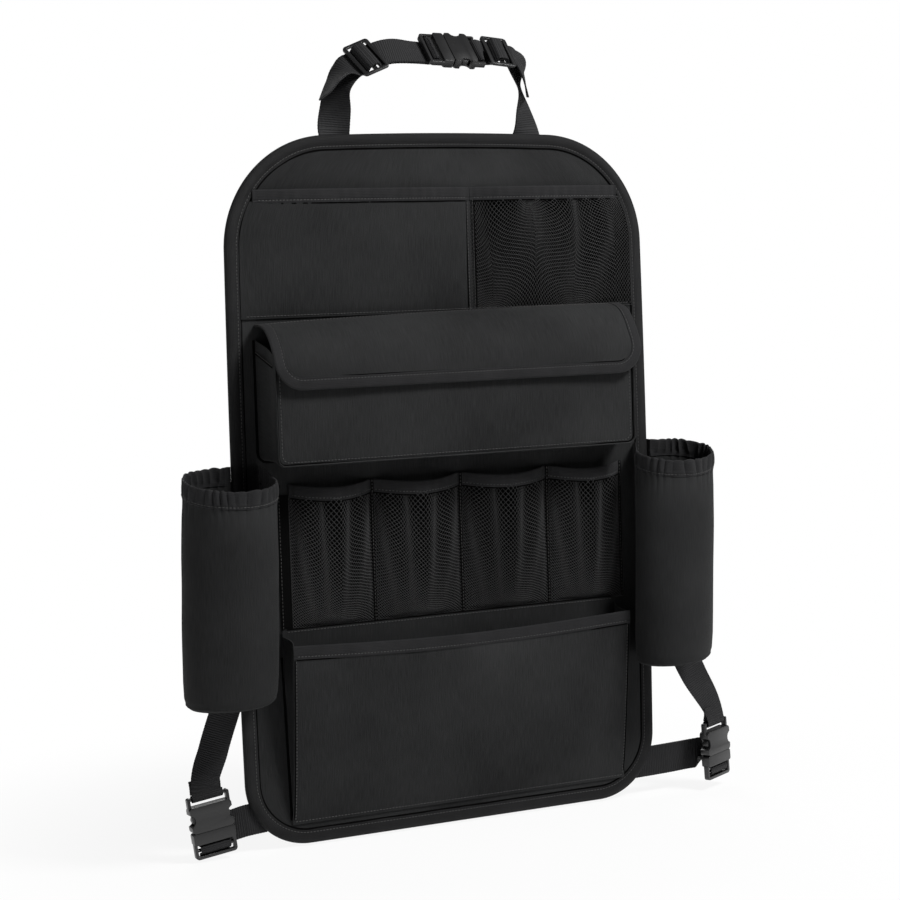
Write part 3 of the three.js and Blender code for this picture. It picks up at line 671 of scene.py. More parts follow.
@dataclass(frozen=True)
class Stage:
    """The camera, the pale floor and the soft light.

    Attributes:
        lens: The lens in millimetres, for a 36 mm sensor.
        place: Where the camera stands, in metres.
        ahead: The way it looks.
        up: The way its picture's top points.
        floor_height: The floor's height in metres.
        ambient: How bright the room is.
    """

    lens: float = 92.048
    place: tuple[float, float, float] = (-0.89070, -1.78588, 0.17458)
    ahead: tuple[float, float, float] = (0.44662, 0.89165, -0.07411)
    up: tuple[float, float, float] = (0.06215, 0.05171, 0.99673)
    floor_height: float = -0.3015
    ambient: float = 0.11

    def set_up(self) -> None:
        """Makes the camera, the floor, the room and the lamps."""
        self.add_camera()
        self.add_floor()
        self.add_room()
        self.add_lamp("key", (0.85, -1.15, 1.6), 0.6, 50.0)
        self.add_lamp("rim", (-1.7, -0.1, 0.5), 0.9, 3.5)
        self.add_lamp("back", (0.4, 1.4, 1.0), 1.0, 8.0)
        bpy.context.scene.view_settings.view_transform = "Standard"

    def add_camera(self) -> None:
        """Stands the camera where the photograph was taken from."""
        bpy.ops.object.camera_add()
        camera = bpy.context.active_object
        camera.data.lens = self.lens
        camera.data.sensor_width = 36.0
        back = -Vector(self.ahead).normalized()
        up = Vector(self.up).normalized()
        right = up.cross(back).normalized()
        turn = Matrix((right, back.cross(right), back)).transposed()
        camera.matrix_world = Matrix.Translation(self.place) @ turn.to_4x4()
        bpy.context.scene.camera = camera

    def add_floor(self) -> None:
        """Lays the floor, which is white past the object's shadow and takes the shadow near it."""
        bpy.ops.mesh.primitive_plane_add(size=14.0, location=(0.0, 0.0, self.floor_height))
        floor = bpy.context.active_object
        floor.name = "floor"
        material = bpy.data.materials.new("pale_floor")
        material.use_nodes = True
        tree = material.node_tree
        tree.nodes.clear()
        place = add_node(tree, "TexCoord").outputs["Object"]
        distance = add_node(tree, "VectorMath", {0: place}, operation="LENGTH").outputs["Value"]
        shadow = {"Value": distance, "From Min": 0.2, "From Max": 0.6, "To Min": 0.88}
        far = add_node(tree, "MapRange", shadow, interpolation_type="SMOOTHSTEP").outputs["Result"]
        seen = self.seen_directly(tree, add_node(tree, "LightPath"))
        white = add_node(tree, "Math", {0: seen, 1: far}, operation="MULTIPLY").outputs[0]
        diffuse = add_node(tree, "BsdfDiffuse", {"Color": (0.9, 0.9, 0.9, 1.0)}).outputs[0]
        glow = add_node(tree, "Emission").outputs[0]
        mixed = add_node(tree, "MixShader", {"Fac": white, 1: diffuse, 2: glow}).outputs[0]
        add_node(tree, "OutputMaterial", {"Surface": mixed})
        floor.data.materials.append(material)

    def seen_directly(self, tree: bpy.types.NodeTree, path: bpy.types.Node) -> bpy.types.NodeSocket:
        """Adds up the camera's, mirrors' and glass's rays."""
        total = path.outputs["Is Camera Ray"]
        for name in ("Is Glossy Ray", "Is Transmission Ray"):
            total = add_node(tree, "Math", {0: total, 1: path.outputs[name]}, operation="MAXIMUM").outputs[0]
        return total

    def add_room(self) -> None:
        """Makes the room plain white to look at and softer as a light."""
        world = bpy.data.worlds.new("room")
        bpy.context.scene.world = world
        world.use_nodes = True
        tree = world.node_tree
        background = next(n for n in tree.nodes if n.type == "BACKGROUND")
        background.inputs["Color"].default_value = (1.0, 1.0, 1.0, 1.0)
        seen = add_node(tree, "LightPath").outputs["Is Camera Ray"]
        strength = add_node(tree, "MapRange", {"Value": seen, "To Min": self.ambient, "To Max": 1.0})
        feed(tree, background.inputs["Strength"], strength.outputs["Result"])

    def add_lamp(self, name: str, place: tuple[float, float, float], size: float, power: float) -> None:
        """Hangs one square soft lamp that faces the object."""
        bpy.ops.object.light_add(type="AREA", location=place)
        lamp = bpy.context.active_object
        lamp.name = name
        lamp.data.shape = "SQUARE"
        lamp.data.size = size
        lamp.data.energy = power
        lamp.rotation_euler = (-Vector(place)).to_track_quat("-Z", "Y").to_euler()


def rows_of(x: np.ndarray, y: np.ndarray, z: np.ndarray) -> np.ndarray:
    """Stacks three coordinates into rows."""
    return np.stack(np.broadcast_arrays(x, y, z), axis=-1).astype(float)


def fullness(share: np.ndarray) -> np.ndarray:
    """How full a slack pocket stands at a share of its width, with flat sides."""
    return np.sin(math.pi * np.clip(share, 0.0, 1.0)) ** 0.7


@dataclass
class Panel:
    """The stiffened panel: two cloth covers, the board between them and the binding round their edge.

    Attributes:
        width: Over the binding, in millimetres.
        height: Over the binding.
        side_bow: How far the sides bow out.
        top_rise: How far the top rises to the middle.
        top_radius: The upper corners' radius.
        bottom_radius: The lower corners' radius.
        face: The front cover's depth from the back face.
        tape_width: How far the binding reaches onto each face.
        tape_gauge: The binding's thickness.
    """

    width: float = 400.0
    height: float = 600.0
    side_bow: float = 1.5
    top_rise: float = 1.5
    top_radius: float = 96.0
    bottom_radius: float = 58.0
    face: float = 5.0
    tape_width: float = 12.0
    tape_gauge: float = 1.0

    def right_side(self, inset: float = 0.0, steps: int = 60) -> np.ndarray:
        """The outline's right half from the bottom to the middle of the top, as X and Z rows."""
        half, high = self.width / 2 - inset, self.height / 2 - inset
        upper, lower = self.top_radius - inset, self.bottom_radius - inset
        hip, shoulder = lower - high, high - self.top_rise - upper
        t = np.linspace(0.0, 1.0, steps)[:, None]
        turn = (t[:, 0] - 1.0) * math.pi / 2
        corner = np.stack([half - lower + lower * np.cos(turn), hip + lower * np.sin(turn)], axis=1)
        start, end = np.array([half, hip]), np.array([half, shoulder])
        bowed = np.array([half + 2 * self.side_bow, (hip + shoulder) / 2])
        side = (1 - t) ** 2 * start + 2 * t * (1 - t) * bowed + t**2 * end
        kappa = 0.5523
        top = np.array([half - upper, high - self.top_rise])
        pull = end + np.array([0.0, kappa * upper])
        reach = top + np.array([kappa * upper, 0.0])
        round_off = (1 - t) ** 3 * end + 3 * t * (1 - t) ** 2 * pull + 3 * t**2 * (1 - t) * reach + t**3 * top
        middle, other = np.array([0.0, high + self.top_rise]), top * np.array([-1.0, 1.0])
        s = t / 2
        crown = (1 - s) ** 2 * top + 2 * s * (1 - s) * middle + s**2 * other
        return np.concatenate([corner, side[1:], round_off[1:], crown[1:]])

    def half_at(self, z: np.ndarray, inset: float = 0.0) -> np.ndarray:
        """Half the outline's width at a height."""
        side = self.right_side(inset)
        return np.interp(z, side[:, 1], side[:, 0])

    def inner_half(self, z: np.ndarray) -> np.ndarray:
        """Half the width that the binding leaves free at a height."""
        return self.half_at(z, self.tape_width + 0.3)

    def border(self, share: np.ndarray, inset: np.ndarray, y: np.ndarray) -> np.ndarray:
        """Points round the edge, from the middle of the bottom by the right side, inset from it."""
        right = self.right_side()
        low = np.array([[0.0, right[0, 1]]])
        left = right[::-1] * np.array([-1.0, 1.0])
        ring = np.concatenate([low, right, left[1:], low])
        at = along_polyline(ring, share % 1.0)
        behind, before = (along_polyline(ring, (share + step) % 1.0) for step in (-0.0008, 0.0008))
        ahead = unit(before - behind)
        return rows_of(at[:, 0] - ahead[:, 1] * inset, y, at[:, 1] + ahead[:, 0] * inset)

    def cover(self, name: str, inset: float, depth: float, gauge: float) -> bpy.types.Object:
        """One cloth cover, whose outer face is at a depth from the back face."""
        high = self.height / 2 - inset - self.top_rise

        def surface(u: np.ndarray, v: np.ndarray) -> np.ndarray:
            """The cover, a little uneven."""
            z = (2 * v - 1) * high
            x = (2 * u - 1) * self.half_at(z, inset)
            y = -depth + 0.16 * (1.0 + lumps(x / 90, z / 90, 3))
            return rows_of(x, y, z)

        return Cut(name, 80, 120, self.width, 2 * high, gauge, offset=-1.0).lay(surface)

    def lining(self, name: str, left: float, right: float, low: float, high: float) -> bpy.types.Object:
        """A thin near-black sheet behind a net, between two places across and two heights: painted shade for
        what falls through the net's holes.
        """

        def surface(u: np.ndarray, v: np.ndarray) -> np.ndarray:
            """A flat sheet on the front cover, within the binding."""
            z = low + v * (high - low)
            x = np.minimum(left + u * (right - left), self.inner_half(z))
            return rows_of(x, -self.face - 0.45, z)

        return Cut(name, 60, 24, right - left, high - low, 0.3, offset=0.0).lay(surface)

    def binding(self) -> bpy.types.Object:
        """The tape that is folded over the panel's edge."""
        wide, front = self.tape_width, self.face + self.tape_gauge
        fold = np.array(
            [
                [wide, -front + 0.4], [wide - 0.7, -front], [wide - 1.4, -front + 0.1],
                [wide - 2.2, -front + 0.7], [wide - 3.0, -front + 0.1], [6.5, -front - 0.7], [4.0, -front - 0.5],
                [2.0, -front + 0.2], [0.8, -front + 0.9], [0.15, -front + 1.9], [0.0, -front / 2], [0.15, -1.5],
                [0.9, -0.45], [2.2, -0.05], [6.5, 0.0], [wide - 2.2, -0.4], [wide, -0.05],
            ]
        )

        def surface(u: np.ndarray, v: np.ndarray) -> np.ndarray:
            """The folded tape, whose inner edge wanders a little."""
            section = along_polyline(fold, v)
            wander = 0.35 * lumps(u * 40, v * 0, 8) * np.abs(2 * v - 1) ** 3
            return self.border(u, section[:, 0] + wander, section[:, 1])

        piece = Cut("edge_binding_tape", 720, 26, 1895.0, 30.0, 0.8, True, -1.0).lay(surface)
        flip_map(piece)
        return piece

    def seams(self, thread: Thread) -> None:
        """The seams along the binding's inner edge, front and back."""
        share = np.linspace(0.0, 1.0, 900)
        for name, depth, way in (("front", -self.face - 0.5, -1.0), ("back", -0.35, 1.0)):
            path = self.border(share, np.full_like(share, self.tape_width - 2.2), np.full_like(share, depth))
            out = np.tile([0.0, way, 0.0], (len(share), 1))
            # Each seam gets a near-black strip beside it that paints the shade of its crease.
            thread.sew(f"binding_stitches_{name}", path, out, -2.9 * way, 0.5 if way < 0 else 0.2)

    def build(self, finishes: Finishes, thread: Thread) -> None:
        """Makes and dresses the panel."""
        front = self.cover("panel_front_cloth", 3.0, self.face, 1.2)
        dress(front, finishes.cloth, Slot.CLOTH, "front_cover")
        back = self.cover("panel_back_cloth", 11.0, 1.0, 0.7)
        dress(back, finishes.cloth, Slot.CLOTH, "back_cover")
        tape = dress(self.binding(), finishes.edging, Slot.TAPE, "edge_binding")
        self.seams(thread)
        board = bpy.data.objects["stiffener_board"]
        board.data.materials.clear()
        board.data.materials.append(finishes.board)


def flip_map(piece: bpy.types.Object) -> None:
    """Swaps the two directions of a piece's pattern map, for tape that runs along the first."""
    layer = piece.data.uv_layers["Cut"]
    places = np.empty(len(piece.data.loops) * 2)
    layer.data.foreach_get("uv", places)
    layer.data.foreach_set("uv", places.reshape(-1, 2)[:, ::-1].copy().ravel())


@dataclass
class Net:
    """Knitted net with diamond holes, as real strands.

    Attributes:
        name: The piece's name.
        across: The net's width in millimetres, before it is gathered.
        along: Its height.
        hole: From one hole to the next.
        strand: How thick a strand is.
    """

    name: str
    across: float
    along: float
    hole: float = 2.6
    strand: float = 0.6

    def lay(self, surface: Surface) -> bpy.types.Object:
        """Knits the diamonds, bends them onto a surface and gives each edge a strand."""
        columns = 2 * max(round(self.across / self.hole), 2)
        rows = 2 * max(round(self.along / self.hole), 2)
        i, j = np.meshgrid(np.arange(columns + 1), np.arange(rows + 1), indexing="ij")
        knots = (i + j) % 2 == 0
        number = np.full(i.shape, -1)
        number[knots] = np.arange(np.count_nonzero(knots))
        faces = []
        for a in range(columns + 1):
            for b in range((a + 1) % 2, rows + 1, 2):
                ring = [(a - 1, b), (a, b - 1), (a + 1, b), (a, b + 1)]
                kept = [number[x, y] for x, y in ring if 0 <= x <= columns and 0 <= y <= rows]
                if len(kept) > 2:
                    faces.append([int(knot) for knot in kept])
        rows_mm = surface(i[knots] / columns, j[knots] / rows)
        piece = from_faces(self.name, rows_mm, faces)
        apply_modifier(
            piece, "WIREFRAME", thickness=self.strand * MM, use_even_offset=False,
            use_boundary=True, use_replace=True,
        )
        recalculated(piece)
        return smoothed(piece)


@dataclass
class HemTape:
    """A tape folded over a pocket's mouth, with its row of stitches.

    Attributes:
        name: The piece's name.
        height: How far it reaches down, in millimetres.
        gauge: Its thickness over the fold.
        columns: Faces along it.
    """

    name: str
    height: float = 11.5
    gauge: float = 1.9
    columns: int = 200

    def section(self) -> np.ndarray:
        """The folded tape's section: how far it stands forward and how high, from its lower back edge."""
        g, h = self.gauge, self.height
        return np.array(
            [
                [0.25, 0.2], [0.0, 2.0], [0.0, h - 1.6], [0.12, h - 0.6], [0.5 * g, h], [g - 0.25, h - 0.4],
                [g, h - 1.5], [g + 0.2, h * 0.55], [g + 0.05, 3.2], [g - 0.55, 2.3], [g, 1.4], [g - 0.3, 0.0],
                [0.5, 0.0], [0.25, 0.2],
            ]
        )

    def lay(self, edge: Surface, length: float) -> bpy.types.Object:
        """Bends the tape along a mouth.

        Args:
            edge: Gives the place at the tape's back for a share along it and a height above its lower edge.
            length: How long the tape is, for its ribs.

        Returns:
            The closed tape.
        """
        section = self.section()

        def surface(u: np.ndarray, v: np.ndarray) -> np.ndarray:
            """The tape round its section."""
            round_it = along_polyline(section, v)
            return edge(u, round_it[:, 1]) - rows_of(0 * u, round_it[:, 0], 0 * u)

        return rolled(Cut(self.name, self.columns, 36, length, 27.0), surface)


def close_tube(piece: bpy.types.Object) -> None:
    """Merges a rolled sheet's long edges, closes its two ends and turns its faces outwards."""
    with edited(piece) as made:
        bmesh.ops.remove_doubles(made, verts=made.verts, dist=0.004 * MM)
        open_edges = [edge for edge in made.edges if edge.is_boundary]
        bmesh.ops.holes_fill(made, edges=open_edges, sides=0)
        bmesh.ops.recalc_face_normals(made, faces=made.faces)
    smoothed(piece, 45)


def rolled(sheet: Cut, surface: Surface) -> bpy.types.Object:
    """A tape, as a sheet rolled round its section, with its ribs across it."""
    piece = sheet.lay(surface)
    flip_map(piece)
    close_tube(piece)
    return piece


@dataclass
class FlatPocket:
    """A pocket front sewn flat to the panel at its sides and foot, with a taped mouth that stands out.

    Attributes:
        panel: The panel that it is sewn to.
        lefts: Where each compartment starts, in millimetres from the middle.
        rights: Where each compartment ends.
        bottom: The lower seam's height.
        mouth: The mouth's height.
        sag: How far the mouth sags within a compartment.
        slack: How far the mouth stands out.
        rise: How soon the front leaves the panel above its lower seam.
        allowance: How far in from a seam the cloth starts to leave the panel.
    """

    panel: Panel
    lefts: Sequence[float]
    rights: Sequence[float]
    bottom: float
    mouth: float
    sag: float
    slack: float
    rise: float = 0.6
    allowance: float = 3.0

    def compartment(self, x: np.ndarray) -> np.ndarray:
        """The number of the compartment that a place is in."""
        return np.clip(np.searchsorted(np.asarray(self.rights), x - 1e-6), 0, len(self.rights) - 1)

    def share_across(self, x: np.ndarray) -> np.ndarray:
        """How far across its compartment a place is, from 0 to 1."""
        n = self.compartment(x)
        left, right = np.asarray(self.lefts)[n], np.asarray(self.rights)[n]
        return (x - left) / (right - left)

    def mouth_at(self, x: np.ndarray) -> np.ndarray:
        """The mouth's height."""
        return self.mouth - self.sag * np.sin(math.pi * np.clip(self.share_across(x), 0.0, 1.0))

    def standoff(self, x: np.ndarray, z: np.ndarray) -> np.ndarray:
        """How far the cloth stands off the panel at a place."""
        edge = self.panel.inner_half(z)
        n = self.compartment(np.clip(x, -edge, edge))
        start = np.maximum(np.asarray(self.lefts)[n], -edge) + self.allowance
        end = np.minimum(np.asarray(self.rights)[n], edge) - self.allowance
        top = self.mouth_at(x)
        share = np.clip((z - self.bottom - self.allowance) / (top - self.bottom - self.allowance), 0.0, None)
        return self.slack * fullness((x - start) / (end - start)) * share**self.rise

    def ends(self, z: np.ndarray) -> tuple[np.ndarray, np.ndarray]:
        """The pocket's two ends at a height, kept inside the panel's binding."""
        edge = self.panel.inner_half(z)
        return np.maximum(self.lefts[0], -edge), np.minimum(self.rights[-1], edge)

    def place(self, u: np.ndarray, z: np.ndarray) -> np.ndarray:
        """The place across at a share of the pocket's width, within the binding."""
        left, right = self.ends(z)
        return left + u * (right - left)

    def cloth(
        self,
        tape: float,
        gauge: float,
        folds: Surface | None = None,
        sags: Sags | None = None,
        open_up: float = 0.0,
    ) -> Surface:
        """The pocket's front below its tape.

        Args:
            tape: The tape's height.
            gauge: How far the cloth's outer face is from its back.
            folds: Gives how far folds stand out for a place and a share of the height.
            sags: How far a net's meshes sag, as shares of its height, at shares of a compartment's width.
            open_up: How far a net's meshes are stretched open where its gathers fan out.

        Returns:
            The surface of the cloth's middle.
        """

        def surface(u: np.ndarray, v: np.ndarray) -> np.ndarray:
            """The slack cloth."""
            if sags:
                u, v = self.fanned(u, v, sags, open_up)
            flat_x = self.lefts[0] + u * (self.rights[-1] - self.lefts[0])
            flat_x = np.clip(flat_x, -self.panel.width / 2, self.panel.width / 2)
            top = self.mouth_at(self.place(u, np.full_like(u, self.mouth)))
            z = self.bottom + v * (top - tape + 1.5 - self.bottom)
            x = self.place(u, z)
            out = self.standoff(x, z)
            if folds is not None:
                out = out + folds(x, v)
            return rows_of(x, -self.panel.face - 0.3 - np.maximum(out, 0.0) - gauge / 2, z)

        return surface

    def fanned(
        self, u: np.ndarray, v: np.ndarray, sags: Sags, open_up: float
    ) -> tuple[np.ndarray, np.ndarray]:
        """Slides a net's meshes along itself, as gathers do: in fans under the mouth, and sagging below."""
        left, right = self.ends(np.full_like(u, self.mouth))
        x = left + u * (right - left)
        n = self.compartment(x)
        start = np.maximum(np.asarray(self.lefts)[n], left)
        width = np.minimum(np.asarray(self.rights)[n], right) - start
        share = np.clip((x - start) / width, 0.0, 1.0)
        spread = (share - 0.5) / (0.45 + 0.55 * v)
        pull = open_up * v**1.4 * np.sin(math.tau * 3 * (spread + 0.5)) / (math.tau * 3)
        moved = np.clip(share - pull * np.sqrt(4 * share * (1 - share)), 0.0, 1.0)
        sunk = np.interp(share, *sags) * 4 * v * (1 - v)
        return (start + moved * width - left) / (right - left), v - sunk

    def tape_edge(self, height: float, back: float = 0.15) -> Surface:
        """The place at the tape's back for a share along it and a height above its lower edge."""

        def edge(u: np.ndarray, up: np.ndarray) -> np.ndarray:
            """Along the mouth, sagging within each compartment."""
            x = self.place(u, np.full_like(u, self.mouth - height / 2))
            z = self.mouth_at(x) - height + up
            ruffle = 0.25 * lumps(x / 14, x * 0, 5)
            out = self.standoff(x, self.mouth_at(x) - height / 2)
            return rows_of(x, -self.panel.face - back - out - ruffle * (out > 1.0), z)

        return edge


@dataclass
class UpperPockets:
    """The closed slip pocket and the net pocket beside it."""

    panel: Panel
    divider: float = 27.0
    mouth: float = 253.5
    foot: float = 146.5
    sags: Sags = ((0.0, 0.12, 0.38, 0.63, 0.9, 1.0), (0.05, 0.2, -0.2, 0.22, -0.12, -0.1))

    def slip(self, finishes: Finishes, thread: Thread) -> None:
        """Makes the slip pocket, its tape and its stitches."""
        pocket = FlatPocket(self.panel, [-200.0], [self.divider], self.foot, self.mouth, 0.0, 7.0)

        def folds(x: np.ndarray, v: np.ndarray) -> np.ndarray:
            """Soft drag lines from the mouth's ends."""
            inside = fullness((x + 180) / 205) * smooth(v * 1.4)
            return inside * 0.55 * lumps(x / 60 - v * 0.5, v * 1.1, 11)

        sheet = Cut("slip_pocket_cloth", 130, 60, 212.0, 98.0, 1.0, offset=0.0)
        cloth = sheet.lay(pocket.cloth(11.5, 1.0, folds))
        dress(cloth, finishes.cloth, Slot.CLOTH, "slip_pocket")
        tape = HemTape("slip_pocket_tape", columns=120).lay(pocket.tape_edge(11.5), 207.0)
        dress(tape, finishes.tape, Slot.TAPE, "slip_pocket_binding")
        thread.sew_mouth("slip_mouth_stitches", pocket.tape_edge(11.5), 0.02, 160)

    def netted(self, finishes: Finishes, thread: Thread) -> None:
        """Makes the net pocket, its tape and its stitches."""
        pocket = FlatPocket(self.panel, [self.divider + 0.3], [200.0], self.foot, self.mouth, 0.0, 8.0)

        def folds(x: np.ndarray, v: np.ndarray) -> np.ndarray:
            """Fans of folds that hang from the mouth."""
            across = (x - 107) / 80
            spread = across * (1.0 + 0.5 * v)
            return 1.3 * v**1.2 * np.cos(math.tau * 3.2 * spread) * fullness((x - 30) / 156)

        knit = Net("upper_net", 172.0, 95.0, 3.1, 0.64)
        net = knit.lay(pocket.cloth(11.5, 0.9, folds, self.sags, 0.6))
        dress(net, finishes.net, Slot.NET, "upper_net_pocket")
        z = (self.foot + 2.0, self.mouth - 4.0)
        # A near-black sheet behind the net paints the shade in its holes.
        lining = self.panel.lining("upper_net_shade_sheet", self.divider + 5.0, 192.0, *z)
        dress(lining, finishes.valley, Slot.NET)
        tape = HemTape("upper_net_tape", columns=110).lay(pocket.tape_edge(11.5), 154.0)
        dress(tape, finishes.tape, Slot.TAPE, "upper_net_binding")
        thread.sew_mouth("upper_net_mouth_stitches", pocket.tape_edge(11.5), 0.02, 160)

    def seams(self, thread: Thread) -> None:
        """The seam strip between the pockets and the seams along their foot."""
        z = np.linspace(self.foot + 1.0, self.mouth - 1.0, 80)
        for n, x in enumerate((self.divider - 2.5, self.divider + 3.0)):
            path = rows_of(x, -self.panel.face - 1.5, z)
            # Each divider seam gets a near-black strip beside it that paints the shade of its crease.
            thread.sew(f"upper_divider_stitches_{n}", path, beside=1.2 - 2.6 * n, sink=0.1)
        x = np.linspace(-184.0, 184.0, 300)
        thread.sew("upper_foot_stitches", rows_of(x, -self.panel.face - 1.45, self.foot + 2.0))

    def build(self, finishes: Finishes, thread: Thread) -> None:
        """Makes both pockets."""
        self.slip(finishes, thread)
        self.netted(finishes, thread)
        self.seams(thread)


@dataclass
class NetRow:
    """The row of four gathered net pockets with its sagging taped mouth."""

    panel: Panel
    dividers: Sequence[float] = (-152.0, -75.5, 9.0, 95.0, 172.0)
    mouth: float = 7.5
    sag: float = 4.0
    foot: float = -116.0
    sags: Sags = ((0.0, 0.25, 0.55, 0.8, 1.0), (0.0, 0.14, 0.24, 0.1, 0.0))

    def build(self, finishes: Finishes, thread: Thread) -> None:
        """Makes the net, the near-black sheet of painted shade behind it, its tape and its seams."""
        lefts, rights = self.dividers[:-1], self.dividers[1:]
        pocket = FlatPocket(self.panel, lefts, rights, self.foot, self.mouth, self.sag, 13.0, 0.35)

        def folds(x: np.ndarray, v: np.ndarray) -> np.ndarray:
            """Three gathers to a pocket, which fan down from its mouth."""
            across = pocket.share_across(x)
            n = pocket.compartment(x)
            spread = (across - 0.5) * (1.15 - 0.5 * (1 - v)) + 0.06 * np.sin(3.1 * n)
            return 1.9 * (0.25 + v**1.3) * np.cos(math.tau * 2.6 * spread) * fullness(across) ** 1.5

        knit = Net("row_net", 348.0, 118.0, 3.0)
        net = knit.lay(pocket.cloth(11.5, 0.9, folds, self.sags, 0.75))
        dress(net, finishes.net, Slot.NET, "net_row")
        z = (self.foot + 2.0, self.mouth - 9.0)
        # A near-black sheet behind the net paints the shade in its holes.
        lining = dress(self.panel.lining("row_net_shade_sheet", -161.0, 171.0, *z), finishes.valley, Slot.NET)
        tape = HemTape("row_tape", columns=300).lay(pocket.tape_edge(11.5), 352.0)
        dress(tape, finishes.tape, Slot.TAPE, "net_row_binding")
        thread.sew_mouth("row_mouth_stitches", pocket.tape_edge(11.5), 0.005, 500)
        for n, x in enumerate(self.dividers):
            self.divider_seam(n, x, thread)

    def divider_seam(self, n: int, x: float, thread: Thread) -> None:
        """The seam where the net is sewn down between two pockets, with a near-black strip that paints the shade
        in its narrow crease.
        """
        z = np.linspace(self.foot + 1.0, self.mouth - 0.6, 90)
        inner = x - (9.0 if n == 0 else 2.2 if n == len(self.dividers) - 1 else 0.0)
        stand = np.interp(z, [self.mouth - 12.6, self.mouth - 11.8], [1.6, 2.7]) if n else 1.0
        path = rows_of(inner, -self.panel.face - stand, z)
        thread.crease(f"row_divider_valley_{n}", path, width=2.6)
        thread.sew(f"row_divider_stitches_{n}", path)


